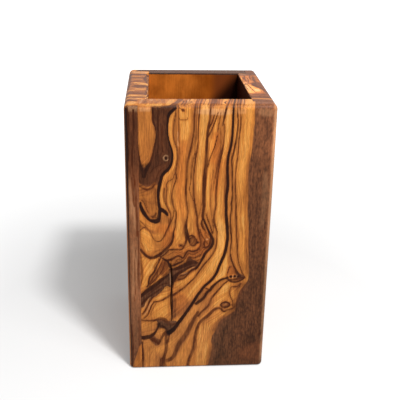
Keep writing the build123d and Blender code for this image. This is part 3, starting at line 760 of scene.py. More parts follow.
FRONT_HEARTS = [
    (1.8, [(49, 130), (49.1, 116), (49.2, 112), (49, 108), (48.9, 104), (48.6, 100), (48.2, 97), (47.9, 94),
           (47.8, 91), (47.8, 88), (48, 84), (48.2, 80), (48.2, 76), (48.4, 72.5), (48.8, 69.5), (49, 66),
           (49.1, 62), (49.3, 58), (49.5, 54), (49.7, 50), (49.9, 46), (49.8, 43.6), (49, 41.8), (47.8, 40),
           (46.9, 38.6), (46.2, 37), (45.7, 35), (45.3, 33), (45.1, 31), (45.2, 29.6), (44.6, 28.2),
           (43.2, 27), (41.6, 25.8), (40.2, 24.8), (39, 23.8), (38.2, 22.4), (37.5, 20.4), (36.8, 18.4),
           (35.9, 16.8), (35.3, 15), (35.2, 13), (35.6, 11), (35.4, 8), (34.9, 5), (34.4, 2), (34.2, -6),
           (72, -6), (72, 130)]),
    (0.5, [(10.6, 116.9), (10.5, 112), (10.9, 110.5), (11.7, 108.6), (11.8, 105), (11.4, 102.6),
           (10.8, 99.6), (10.1, 97.2), (9.4, 95.4), (8.4, 94.2), (7, 93.2), (6.4, 94.4), (5.9, 96.8),
           (5.4, 99.8), (4.6, 103), (3.6, 103), (3.6, 87.6), (5.2, 87), (6.6, 86), (8.3, 85.3), (9.8, 85.8),
           (11, 87.2), (11.8, 87.4), (12.4, 86), (13.6, 88), (14.4, 90.2), (16.4, 92.6), (17.6, 94.6),
           (18, 97), (17.9, 99.4), (17.3, 101.6), (16.7, 104), (16.3, 107), (16.2, 110), (16.5, 113),
           (17.4, 115), (19.4, 116.8), (19.8, 118.4), (20.2, 120.8), (21, 124), (21.6, 129), (19.4, 129),
           (19, 124.5), (18.6, 122), (18, 120.1), (17.3, 119), (16.4, 118), (14, 117.1)]),
    (0.7, [(25.4, 54.4), (24.6, 53), (24, 51.8), (22.8, 51), (21.4, 50.6), (20.2, 49.8), (19, 49),
           (18, 49.2), (17.4, 48.6), (16.8, 47), (15.8, 45.8), (14.8, 45), (13.6, 44.6), (12.9, 43.6),
           (12.2, 42.4), (11, 41.8), (9.8, 41), (8.8, 40.3), (7.6, 39.4), (6.4, 38.2), (5.5, 36.6), (4, 34),
           (4, 30.4), (5.4, 30.6), (6.4, 31.2), (7.2, 33.2), (8.2, 34.8), (9.6, 35), (11.4, 36), (12.6, 37),
           (13.6, 38), (14.4, 39), (15, 40), (15.8, 40.8), (16.6, 40.8), (17.6, 40.2), (18.4, 41.4),
           (18.9, 42.6), (19.6, 43.8), (20.3, 45), (21.2, 46), (22.6, 47), (24, 47.9), (25.2, 48.9),
           (26.6, 49.6), (28.2, 50), (28.8, 51.6), (27.5, 52.8), (26.2, 53.4)]),
    (0.9, [(44.6, 46.4), (45.2, 47.4), (46.2, 46.4), (48.3, 44.7), (46.8, 43.7), (45, 43.4), (44.9, 44.6)]),
    (1.1, [(11.6, 24.6), (13.6, 25), (15.4, 24.2), (17.2, 23.8), (19.4, 24), (20.6, 22.8), (19, 19.4),
           (17.6, 17), (16.2, 16.4), (15.5, 18), (15.2, 19.6), (14.4, 20.8), (13.4, 20.6), (12.6, 21),
           (12.2, 22.6)]),
]

FRONT_SHADES = [
    # the first three: the heartwood and the lower right darker towards the bottom, and the heartwood lighter
    # at the top
    (-0.2, 14, [(47, 84), (47, 40), (34, 16), (34, -10), (74, -10), (74, 84)]),
    (-0.14, 8, [(36, -10), (38, 16), (42, 24), (47, 34), (49.6, 44), (52, 52), (72, 52), (72, -10)]),
    (0.34, 10, [(50, 134), (50, 108), (54, 98), (72, 96), (72, 134)]),
    (0.22, 2.4, [(12.6, 114), (15, 114), (15.4, 104), (16, 100), (13.4, 98), (12.8, 105)]),
    (0.3, 2.0, [(16.4, 95), (12, 93), (9.4, 89), (10.6, 86), (12.6, 88), (14.4, 91)]),
    (-0.48, 1.2, [(10.4, 118), (12, 107), (10.4, 96), (5, 94), (5, 87), (11, 86.6), (14.4, 90), (18, 95),
                  (18.2, 99), (16.6, 105), (16.6, 113), (19.4, 118)]),
    (-0.34, 1.4, [(25.4, 54.6), (22, 51), (18, 49.4), (14.4, 45), (6, 38), (4, 34), (5, 30), (9, 34.4),
                  (14.4, 38.6), (18, 40.6), (21, 45.6), (26.6, 49.4), (29, 51.4), (26.4, 53.6)]),
    (-0.35, 1.2, [(12, 24), (16, 22.6), (19, 20.6), (17, 16.8), (15, 19.6), (12.4, 20.8)]),
    (-0.16, 3.4, [(49, 13.6), (52, 16), (58, 19.4), (58, 15.4), (54, 12.6), (50, 11.6)]),
    (-0.2, 3.0, [(45.4, 34), (48, 35), (49, 31), (46, 26.4), (43, 21.6), (41.4, 15), (40.4, 8), (39.6, 1),
                 (36, 1), (37, 8), (37.6, 15), (40, 21), (43, 26)]),
    (0.1, 3.5, [(49, 27), (53, 30), (54, 24), (51, 19), (47, 14), (45, 16), (46.4, 22)]),
    (0.24, 3.0, [(49, 9), (53, 11.6), (58, 11), (58, 4), (52, 4), (48, 5.6)]),
    # the right rounded upright, lighter above than below: worn, and a painted highlight where it faces the
    # lamp
    (0.4, 2.2, [(56.2, 128), (56, 100), (56.4, 70), (57.2, 48), (60, 46), (60, 128)]),
    (0.15, 2.0, [(57.2, 40), (56.8, 20), (57, 6), (60, 6), (60, 42)]),
    # darker at the lower left
    (-0.1, 10, [(5, 26), (14, 26), (26, 26), (34, 24), (36, 0), (36, -10), (5, -10)]),
    # the rounded top edge darker: painted shade that tones down the lamp's light on it
    (-0.16, 1.4, [(5, 117.2), (49, 117.2), (49, 120), (5, 120)]),
]

FRONT_KNOTS = [
    ((15.7, 97), 0.95, 1.1, 0.0, 2.0, 0.42),
    ((28.6, 60.9), 0.6, 0.6, 0.5, 2.0, 0.35),
    ((21.6, 59.6), 0.9, 0.8, 0.6, 1.7, 0.5),
    ((26.6, 61.3), 1.5, 2.0, 1.5, 0.0, 0.5),
    ((40.6, 31.4), 1.9, 1.2, 1.7, 0.0, 0.5),
    ((43.9, 31.2), 0.7, 0.7, 0.8, 1.5, 0.35),
    ((42.6, 44.9), 0.6, 0.6, 0.7, 2.0, 0.5),
    ((44.2, 45), 0.6, 0.6, 0.7, 2.0, 0.5),
    ((45.6, 44.9), 0.5, 0.5, 0.6, 2.0, 0.4),
    ((22.1, 115.9), 0.6, 0.6, 0.3, 1.3, 0.3),
    ((56.2, 16.5), 0.6, 0.7, 0.6, 1.5, 0.4),
]

FRONT_PALES = [
    (0.75, [0.35],
     [(16.6, 97.2), (16.2, 98), (15.5, 98.1), (14.9, 97.5), (14.9, 96.6), (15.5, 96), (16.3, 96.2),
      (16.6, 97.2)]),
    (0.3, [0.35], [(20.2, 108), (20.2, 104.5), (20.4, 101.5)]),
    (0.15, [0.5], [(16.2, 57.9), (15, 56.4), (13.8, 55.2), (12.6, 54.6)]),
    (0.25, [0.4], [(27.4, 49.6), (26.4, 49.2), (25.2, 48.2)]),
    (0.25, [0.4], [(24.6, 47.2), (23.4, 46.6), (22, 46.6)]),
    (0.35, [0.4], [(9.4, 36), (8.6, 35), (7.8, 33.4), (7, 31.6), (6.2, 30)]),
    (0.3, [0.4], [(9.6, 33.4), (8.8, 31.5), (8.2, 29.6), (7.2, 28), (6.5, 26.6)]),
    (0.55, [0.2, 0.32, 0.2], [(17.4, 47.4), (17.5, 44), (17.6, 41.4)]),
    (0.5, [0.5], [(43.4, 45.4), (43.4, 44.4)]),
    (0.4, [0.4], [(44.9, 45.4), (44.9, 44.4)]),
    (0.15, [0.6], [(40.6, 31.7), (41.3, 31.7)]),
    (0.3, [0.3], [(24.6, 67.8), (24.2, 66.6), (24.1, 65)]),
    (0.35, [0.5, 0.6], [(33, 62.6), (32.4, 62.2), (31.8, 62.4)]),
    (0.9, [0.3, 0.5, 0.3], [(23.4, 126), (23.3, 124), (23.1, 121.5)]),
    (0.5, [0.5], [(44.6, 127.6), (44.4, 120)]),
    (0.35, [0.8, 1.4], [(9.4, 123), (9, 127)]),
    (0.35, [0.8], [(5.8, 119), (5.7, 127)]),
    # pale haze along the rounded top edge: a painted sheen, the reflection of the gloss
    (0.3, [1.6], [(5.6, 116.2), (10.2, 116.2)]),
    (0.42, [1.8, 2.4, 2.4, 1.6], [(27, 115.4), (33, 115.4), (36.5, 115.2), (41, 115.4)]),
    (0.2, [2.0], [(42, 115.4), (46, 115.6)]),
    (0.12, [2.0, 3.0, 2.4], [(50.4, 115.8), (53, 115), (56.4, 114.8)]),
    (0.1, [1.6, 2.6, 1.6], [(54.4, 92), (54.8, 80), (54.2, 66)]),
    # the right rounded upright pale: worn, and a painted highlight where it faces the lamp
    (0.3, [2.6], [(58, 126), (58, 80), (58, 40), (58, -6)]),
    # paler at the lower left and along the bottom
    (0.05, [24], [(8, -8), (8, 10), (26, 10), (30, 24), (28, -8)]),
    (0.05, [4.4], [(30.6, -6), (31, 6), (31.6, 14), (33, 22)]),
]

FRONT_RUSTS = [
    (0.7, [3.0, 3.6, 4.0, 3.6, 3.0],
     [(22.6, 106), (22, 98), (21.6, 90), (21.4, 82), (21.6, 76), (21.8, 70)]),
    (0.8, [2.6, 3.4, 2.6], [(34.8, 108), (34.6, 101), (33.8, 94)]),
    (0.6, [2.2, 2.4], [(36.6, 96), (35.6, 88), (35, 80)]),
    (0.9, [5, 6, 5], [(30.6, 67), (31, 60), (29, 55)]),
    (0.8, [3, 5, 4], [(11, 67), (15, 67), (17.6, 64), (15, 58)]),
    (0.6, [5, 6], [(19, 58), (24, 56), (28, 54)]),
    (0.7, [4, 6, 5], [(20, 38), (22, 33), (20, 27)]),
    (0.8, [3, 4], [(43, 50), (42.6, 45)]),
    (0.5, [3, 3], [(14, 53), (15, 46)]),
    (0.6, [5, 7], [(24, 122), (33, 122), (42, 122)]),
]

FRONT_GUIDES = [
    (8, [(8, 122), (8, 110), (7.5, 98)]),
    (13, [(13.5, 122), (13, 110), (13, 100), (10.5, 95), (7, 89), (4, 87)]),
    (17, [(18, 119), (16.4, 110), (17, 103), (18, 98), (15.4, 91), (13, 85), (12.8, 79), (11, 70),
          (7.5, 73), (4, 79)]),
    (20, [(20.5, 128), (20.4, 119), (20.4, 108), (20.4, 98), (18.2, 83), (19.5, 74), (18.8, 64), (15.5, 58),
          (10, 54), (4, 59)]),
    (24, [(26.8, 128), (26.6, 118), (26, 106), (24, 93), (23.5, 82), (24.4, 74), (23.8, 64), (19, 57.8),
          (14, 54.5), (10.8, 48), (6, 41)]),
    (31, [(32.6, 128), (32.4, 118), (31.3, 103), (30.8, 89), (30.7, 76), (32.5, 67), (34.6, 61), (31, 54.5),
          (25, 52.5), (18, 49.5), (13, 44.5), (7, 39), (4, 34)]),
    (36, [(38.6, 128), (38, 118), (37.7, 103), (35.6, 86), (35.2, 74), (36.3, 64), (33.4, 53.4), (28.4, 46),
          (22.5, 39.5), (17, 36), (10, 32), (4, 24)]),
    (41, [(41.3, 128), (41, 118), (40.8, 105), (39.5, 94), (39.8, 84), (39.6, 74), (40.5, 64), (39, 53.6),
          (34.5, 43.4), (29, 36.6), (23, 26), (17, 18.2), (10, 16.4), (4, 15.5)]),
    (44, [(44, 128), (43.8, 118), (43.4, 98), (43.3, 79), (44.3, 63), (46, 50.4), (42.6, 40), (35, 35),
          (29.5, 26), (25, 18), (20.4, 10), (15, -4)]),
    (47, [(46.8, 128), (46.8, 119), (46, 98), (46, 79), (46.6, 60), (48.5, 44), (44.8, 36), (37.8, 29.5),
          (31, 24), (28.2, 14), (25, -4)]),
    (50, [(49.4, 128), (49.2, 115), (48, 94), (48.2, 80), (49.2, 60), (49.8, 44), (46, 32.5), (41, 25),
          (36.5, 15), (35, -4)]),
    (58, [(56.5, 128), (56.5, 118), (56, 89), (56, 60), (56, 40), (51.5, 21), (49.5, -4)]),
]

LEFT_FIGURE = {  # left board: across runs from the back to the front, and on round its end
    "grown": {
        "seed": 5, "spacing": 2.3,
        "knots": [(20, 95, 2.0), (47, 30, 2.6)],
        "swirls": [(26, 44, 8, 28, 9)],
        "bands": [(2, 5), (11, 14.5), (19, 21), (27, 31), (38, 40), (46, 49.5), (57, 80)],
    },
    "strokes": [
        (0.6, [12.0], [(-4, 122), (20, 122), (40, 122), (60, 122)]),
        (1.0, [7.0], [(67, 128), (67, 100), (67, 84)]),
        (0.5, [7.0], [(67, 90), (67, 50), (67, 10)]),
        (-1.8, [2.0, 2.8, 2.4], [(64.4, 117.8), (62, 119.8), (59.4, 122.4)]),
        (0.8, [6.0], [(46, 118), (46, 127)]),
        (-1.5, [1.2, 1.8], [(54.8, 117.4), (54.4, 121.6), (54, 124.4)]),
        (-1.9, [2.2, 2.6, 2.4], [(49.6, 116.6), (49.6, 121.6), (49.8, 128)]),
        (-1.3, [1.8], [(42, 118.6), (41.4, 121.6)]),
        (-1.4, [1.8, 2.2], [(38.8, 121.4), (38.4, 126.6)]),
        (-2.2, [2.2, 3.4, 2.6], [(27.6, 120.6), (29, 124), (30.6, 127.6)]),
        (-1.3, [0.9], [(20.8, 120.8), (20.4, 126.6)]),
        (-1.1, [2.0], [(15.6, 118), (15.4, 126.4)]),
        (-1.7, [3.6, 4.0], [(7, 117), (7, 128)]),
    ],
    "hearts": [
        (0.4, [(63.7, -6), (63.7, 118.4), (72, 118.4), (72, -6)]),
    ],
    "lines": [
        (1.5, 0, [1.6, 2.4, 1.0], [(57.4, 118), (57.2, 120.2), (57.6, 122.8)]),
        (1.6, 0, [1.0, 1.7, 1.5, 0.8], [(52.2, 118), (52.4, 121.4), (51.8, 124), (51.4, 126.8)]),
        (0.9, 0, [0.6, 1.0, 0.6], [(46.4, 118.4), (46.8, 121.6), (46, 124.8)]),
        (1.2, 0, [0.6, 1.6, 0.8], [(48.6, 126), (45, 126.6), (41.6, 126.2)]),
        (0.7, 0, [0.5, 0.9, 0.5], [(43.6, 119.4), (44, 122), (43.4, 124.6)]),
        (1.45, 0, [1.4, 4.2, 4.8, 3.6, 2.0],
         [(34.6, 120.4), (34, 122.2), (33.8, 124.2), (34, 126), (34.6, 127.2)]),
        (1.6, 0, [0.6, 1.4, 0.8], [(40.4, 126.4), (37, 126.8), (33, 126.4)]),
        (1.0, 0, [0.5, 1.0, 0.5], [(26, 119.4), (25.4, 122.4), (25.8, 126)]),
        (1.5, 0, [0.6, 1.6, 2.2, 1.2], [(28.6, 126.6), (24, 126), (20, 125.6), (14, 126.2)]),
        (1.0, 0, [0.4, 1.0, 0.4], [(23, 121), (22.8, 123.4), (23.2, 125.6)]),
        (1.6, 0, [1.4, 2.0, 1.6], [(18.4, 118), (18.6, 122), (18, 126)]),
        (1.5, 0, [2.0, 2.8, 2.4], [(11.8, 118), (11.4, 122.4), (11.6, 127)]),
        (1.3, 0, [3.0], [(2.4, 117), (2.4, 128)]),
        # dark along the rounded outer edge of the rim: painted shade, as it faces away from the lamp
        (0.9, 0, [1.8], [(38, 118.4), (24, 118.6), (6, 118.4)]),
        (1.1, 0, [0.4, 0.8, 0.4], [(55.4, 119), (54.8, 121.6), (55.6, 124.6)]),
        (1.0, 0, [0.4, 0.7, 0.4], [(50.6, 122), (49.8, 124.2), (50.2, 126.4)]),
        (1.1, 0, [0.4, 0.9, 0.4], [(37.6, 120.2), (36.6, 122.4), (37.4, 125)]),
        (1.0, 0, [0.3, 0.7, 0.3], [(30.4, 119.6), (29.2, 121.6), (28.6, 123.4)]),
        (0.9, 0, [0.3, 0.6, 0.3], [(24.6, 120), (24, 122), (24.6, 124)]),
        (1.0, 0, [0.4, 0.7, 0.4], [(15.4, 119.4), (14.8, 122), (15.6, 125)]),
        (1.0, 0, [0.4, 0.8, 0.4], [(7.4, 119), (6.6, 122), (7.2, 125.4)]),
        # the end that shows at the front
        (1.9, 0, [1.8, 1.9, 1.3, 0.9, 0.7, 0.7],
         [(64.4, 116), (64.5, 102), (64.5, 88), (64.5, 70), (64.4, 40), (64.5, 0)]),
        (1.5, 0, [0.6, 0.9, 0.5], [(65.4, 117), (65.7, 111), (65.3, 104), (65.5, 96)]),
        (1.4, 0, [0.8, 1.0, 0.8, 0.5], [(67.6, 116), (67.8, 110), (67.2, 103), (66.8, 96), (67.2, 90)]),
        (1.2, 0, [0.7, 1.0, 0.8], [(67.4, 90), (67.9, 84), (68, 79), (68.3, 72), (68.2, 64)]),
        (1.2, 0, [0.5, 0.7, 0.5], [(66.6, 89), (66.9, 83), (67.3, 77)]),
        (1.2, 0, [0.6], [(68.7, 66), (68.7, 56), (68.4, 48), (68.6, 40)]),
        (1.1, 0, [0.4], [(67.6, 58), (67, 50), (67.2, 42), (66.6, 34)]),
        (1.3, 0, [0.8, 1.6, 1.0], [(65, 22), (65.3, 12), (64.8, 0)]),
        (1.2, 0, [0.5, 0.6], [(68.4, 26), (68.3, 18), (68.4, 12)]),
    ],
    "tones": [
        (0.7, 0.9, [(68.9, 12.6), (69, 6), (69, -3), (64.8, -3), (66, 3.4), (67, 6.6), (67.8, 9.4),
                    (68.4, 11.6)]),
    ],
    "bare": [
        (1.2, [(69.6, 12.8), (69.6, 6), (69.6, -3), (64.8, -3), (66, 3.4), (67, 6.6), (67.8, 9.4),
               (68.4, 11.6)]),
    ],
    "shades": [
        # the outer part of the rim darker: painted shade on the rounded edge that faces away from the lamp
        (-0.1, 1.6, [(10, 117), (50, 117), (50, 120), (36, 120.6), (24, 120), (10, 120)]),
        (-0.3, 10, [(63.6, 128), (63.6, 98), (72, 98), (72, 128)]),
        (0.4, 12, [(63.6, 86), (63.6, 40), (72, 40), (72, 86)]),
        (0.3, 12, [(63.6, 40), (63.6, 25), (72, 25), (72, 40)]),
    ],
    "pales": [
        (0.06, [3.6, 5.6, 5.6, 4.0], [(66.4, 90), (66.6, 70), (66.6, 50), (66.6, 30), (66.2, 8)]),
        # pale haze at the rounded top of the end: a painted sheen
        (0.35, [2.4], [(65, 116.6), (66.6, 116.6), (69.4, 116.4)]),
        (0.12, [0.8, 1.2, 0.8], [(65.6, 90), (65.8, 84), (66, 78), (65.8, 72)]),
        (0.12, [0.8, 1.2, 0.8], [(66.6, 79), (67.1, 75), (67.6, 66)]),
        (0.1, [0.8], [(67.6, 58), (67.7, 54), (67.2, 40)]),
        (0.1, [1.0], [(66.4, 62), (66.7, 52), (66.4, 46), (66, 34)]),
        # pale along the mouth's edge: worn, and a painted highlight where it faces the lamp
        (0.9, [0.5, 1.1, 0.5, 0.9, 0.4, 1.0, 0.7], [(57.6, 127), (50, 127.1), (43, 127.2), (36, 127.2)]),
        (0.45, [3.6], [(7, 118), (7, 127)]),
        (0.3, [2.4], [(54.6, 120), (54.4, 125)]),
        # the same along the mouth's edge towards the front
        (0.8, [0.4, 0.8, 0.4, 0.9, 0.5], [(34, 127.2), (26, 127.3), (18, 127.2), (9, 127)]),
    ],
    "knots": [], "rusts": [],
}

RIGHT_FIGURE = {  # right board: across runs from the front to the back
    "grown": {
        "seed": 11, "spacing": 2.1,
        "knots": [(24, 38, 2.4), (41, 83, 1.8)],
        "swirls": [(36, 52, 9, 30, 10)],
        "bands": [(54, 80), (30, 33)],
    },
    "strokes": [
        (0.6, [12.0], [(2, 122), (24, 122), (44, 122), (68, 122)]),
        (-0.7, [1.8], [(8, 116), (8, 121), (8.2, 127)]),
        (-1.4, [5.0, 6.0, 5.0], [(19, 125.6), (26, 126), (34, 126.8)]),
        (-2.0, [3.0, 3.8, 3.4, 2.4], [(16.6, 126.4), (22, 126), (28, 126.2), (34, 126.6)]),
        (-2.2, [2.6, 3.4, 2.6], [(20, 122.2), (23, 122.6), (26, 123.4)]),
        (-1.5, [2.4], [(19, 124.4), (24, 124.6), (31, 124.8)]),
        (-1.5, [1.2, 1.8, 1.2], [(36, 127), (41, 127), (46, 126.6)]),
        (-0.7, [1.0, 1.6, 0.8], [(37.4, 123.6), (42, 123.8), (47, 123.4)]),
        (0.8, [1.0], [(6, 118), (30, 118), (60, 118)]),
    ],
    "hearts": [
        (0.9, [(2, 116), (2, 128), (7.2, 128), (7, 116)]),
        (1.6, [(51.4, 117), (50.6, 121), (49.6, 124), (51, 128), (66, 128), (66, 117)]),
    ],
    "lines": [
        (0.9, 0, [0.5], [(14.6, 118), (15, 122), (15.6, 127)]),
        (0.7, 0, [3.6], [(11.2, 117), (11.4, 122), (11.6, 128)]),
        (1.5, 0, [0.8, 1.6, 1.6, 1.0], [(17.6, 119.4), (21, 119.6), (26, 120.6), (30, 122)]),
        (1.5, 0, [1.2, 2.6, 1.6], [(27, 121.4), (31, 122.8), (34.6, 122.4)]),
        (1.3, 0, [0.5, 1.0, 0.4], [(38, 125.2), (43, 125.4), (50, 124.6)]),
        (1.5, 0, [1.0, 2.2, 1.4], [(10.6, 118), (11, 121), (10.6, 127)]),
        (1.4, 0, [0.8, 1.2, 0.6], [(36, 121.4), (42, 121.6), (49, 121)]),
        (1.1, 0, [1.4], [(8, 118.2), (20, 118.4), (34, 118.2), (62, 118.4)]),
        (1.2, 0, [2.0, 3.0], [(55, 117), (54.6, 128)]),
        (1.2, 0, [4.0], [(60.6, 117), (60.6, 128)]),
        (1.0, 0, [0.4, 0.8, 0.4], [(18.4, 124), (23, 124.6), (29, 125.2), (35, 126)]),
        (0.8, 0, [0.4, 0.6, 0.4], [(19.4, 121.6), (23, 121.2), (27, 121.8)]),
        (0.9, 0, [0.4, 0.6, 0.4], [(21, 126.2), (27, 126.6), (32, 127)]),
        (1.1, 0, [0.8, 1.6, 1.0], [(34, 123.8), (32.8, 125.6), (31.6, 127.4)]),
        (1.0, 0, [0.3, 0.7, 0.3], [(35, 124.8), (40, 124.1), (45.4, 124)]),
        (1.0, 0, [0.3, 0.7, 0.3], [(40, 123), (46, 122.8), (53, 121.6)]),
        (1.0, 0, [0.3, 0.6, 0.3], [(36.4, 126.8), (42, 126.2), (47, 125.8)]),
        (1.5, 0, [0.8, 1.2, 0.7], [(11.8, 118.6), (12, 121.6), (11.6, 124.4), (12.2, 127)]),
        (1.1, 0, [0.5, 0.8, 0.4], [(13.8, 119), (14.6, 121), (14.2, 123.4), (15.4, 126)]),
        (1.0, 0, [0.4, 0.7, 0.4], [(16.2, 119.4), (16.4, 122), (17.4, 124.6)]),
        (1.3, 0, [0.5, 0.9, 0.5], [(5.2, 119), (5, 122), (5.6, 126)]),
        (1.1, 0, [0.4, 0.7, 0.4], [(3, 120), (2.6, 123), (3.2, 126.4)]),
    ],
    "tones": [(0.5, 1.6, [(9.6, 117), (17, 117), (17.6, 121), (16.4, 124), (16.8, 129), (9.6, 129)]),
              (1.5, 1.2, [(25, 117), (36, 117), (36.4, 122), (34, 123.8), (30.4, 123.2), (27, 121.4)])],
    "bare": [], "knots": [],
    "rusts": [(0.6, [8, 9, 8], [(12, 122.4), (32, 122.4), (54, 122.4)])],
    "shades": [
        (0.46, 3, [(15, 129), (16, 122), (25, 120.6), (31, 123.6), (40, 123), (50, 123), (50, 129)]),
    ],
    "pales": [
        (0.6, [1.6, 2.6, 1.6], [(20.6, 122.6), (22.6, 122.8), (24.8, 122.6)]),
        (0.4, [1.2, 2.0, 1.2], [(19, 126.4), (25, 126.4), (31, 126.6)]),
        (0.4, [1.2, 2.0, 1.2], [(33.4, 126.4), (35, 126), (36.4, 126.6)]),
        (0.7, [0.6, 0.9], [(52.6, 123.6), (53, 127.4)]),
        (0.5, [0.5, 0.3], [(52, 127.2), (44, 127.3)]),
        (0.4, [0.5], [(5.6, 127.2), (12, 127)]),
    ],
}

BACK_FIGURE = {  # back board: across runs from the right to the left
    "grown": {
        "seed": 23, "spacing": 2.4,
        "knots": [(33, 71, 2.2)],
        "swirls": [(24, 60, 9, 30, -12)],
        "bands": [(-10, 12), (45, 49)],
    },
    "strokes": [(0.6, [3.0], [(26, 121.4), (30, 122), (34, 121.4)])],
    "hearts": [(1.2, [(2, 116.6), (2, 130), (48.6, 130), (48.6, 116.6)])],
    "lines": [
        (1.4, 0, [1.0, 2.4, 1.4], [(41, 124.4), (44, 125), (48, 124.6)]),
        (1.2, 0, [0.8, 2.2, 1.0], [(8, 121), (13, 121.4), (20, 121)]),
        (1.1, 0, [0.4, 0.6, 0.4], [(22, 123.6), (30, 120.6), (40, 121.6)]),
    ],
    "tones": [(-0.7, 1.0, [(49, 116), (49, 128), (60, 128), (60, 116)]),
              (1.4, 3.0, [(22, 117), (22, 129), (35, 129), (35, 117)])],
    "bare": [], "knots": [],
    "rusts": [(0.9, [12], [(-4, 122), (25, 122), (54, 122)])],
    "shades": [(-0.8, 2, [(-2, 117), (-2, 130), (48, 130), (48, 117)])],
    "pales": [(0.08, [1.6], [(6, 119), (30, 119), (47, 119.4)]), (0.6, [0.5], [(48.8, 122), (48.8, 127)])],
}

FRONT_FIGURE = {
    "strokes": FRONT_STROKES, "hearts": FRONT_HEARTS, "lines": FRONT_LINES, "tones": FRONT_TONES,
    "bare": [], "shades": FRONT_SHADES, "pales": FRONT_PALES, "knots": FRONT_KNOTS, "rusts": FRONT_RUSTS,
    "guides": FRONT_GUIDES,
}


# ---------------------------------------------------------------- a board's shape

seam_dip = 0.12  # how far a glued joint's edges are sanded down
seam_reach = 0.16  # and how far from the joint that starts
depth_spacing = 0.45  # of the grid lines from the outer face inwards
rim_slant = 0.15  # how far the figure on the rim leans to the right for each mm inwards
tiny = 1e-9  # keeps a division off zero


def rounding_lines(radius, steps=6):
    """Distances in from a square edge whose grid lines make even steps round its rounding."""
    return radius * (1 - np.tan(np.radians(45) * np.arange(steps + 1) / steps))


def grid_lines(low, high, spacing, *fixed):
    """Grid lines from low to high, about a spacing apart, with every fixed one among them."""
    stops = np.unique(np.round(np.concatenate([[low, high], *[np.atleast_1d(f) for f in fixed]]), 4))
    runs = [
        np.linspace(start, end, max(1, round((end - start) / spacing)) + 1)[:-1]
        for start, end in zip(stops, stops[1:])
    ]
    return np.round(np.append(np.concatenate(runs), high), 4)


def onto_arc(u, v):
    """Factor that moves a point of a square corner towards the corner's arc centre, so that the
    square's rim becomes an arc. u and v are the distances out from that centre."""
    inner = (u > 0) & (v > 0)
    return np.where(inner, np.maximum(u, v) / np.maximum(np.hypot(u, v), tiny), 1.0)


def round_over(points, width):
    """Rounds the square board's points where the finished box was sanded. Across starts at the
    box's left corner, and depth goes in from the outer face."""
    across, depth, up = points.T

    # the upright at the right, the outer rim and the foot
    u = across - (width - edge_round)
    v = edge_round - depth
    reach = np.maximum(u, v)
    rise = up - (box_height - edge_round)
    rim = onto_arc(reach, rise)
    foot_reach = reach - (edge_round - foot_round)
    drop = foot_round - up
    foot = onto_arc(foot_reach, drop)
    foot_pull = np.where(foot < 1, 1 + foot_reach * (foot - 1) / np.maximum(reach, tiny), 1.0)
    pull = onto_arc(u, v) * rim * foot_pull
    across = np.where(u > 0, width - edge_round + u * pull, across)
    depth = np.where(v > 0, edge_round - v * pull, depth)
    up = np.where(rim < 1, box_height - edge_round + rise * rim, up)
    up = np.where(foot < 1, foot_round - drop * foot, up)

    # the mouth's edge, which turns its left corner
    beside, behind = wall - across, wall - depth
    inward = mouth_round - np.maximum(beside, behind)
    rise = up - (box_height - mouth_round)
    mouth = onto_arc(inward, rise)
    move = inward * (1 - mouth)
    across = np.where(beside >= behind, across - move, across)
    depth = np.where(beside < behind, depth - move, depth)
    up = np.where(mouth < 1, box_height - mouth_round + rise * mouth, up)
    return np.column_stack([across, depth, up])


def wear_mouth(points, width, losses):
    """Wears the mouth's edge back. The losses go evenly from the mouth's left to its right."""
    fades_over = 1.6  # mm from the edge outwards over the rim
    starts_over = 0.6  # mm before the mouth's left corner
    dips = 0.15  # how far the edge sinks for each mm that it is worn back
    across, depth, up = points.T
    loss = np.interp(across, np.linspace(wall, width - wall, len(losses)), losses)
    near = np.clip((depth - wall + fades_over) / fades_over, 0, 1)
    near *= up > box_height - mouth_round + 0.01
    near *= np.clip((across - wall + starts_over) / starts_over, 0, 1)
    return np.column_stack([across, depth - loss * near, up - dips * loss * near * near])


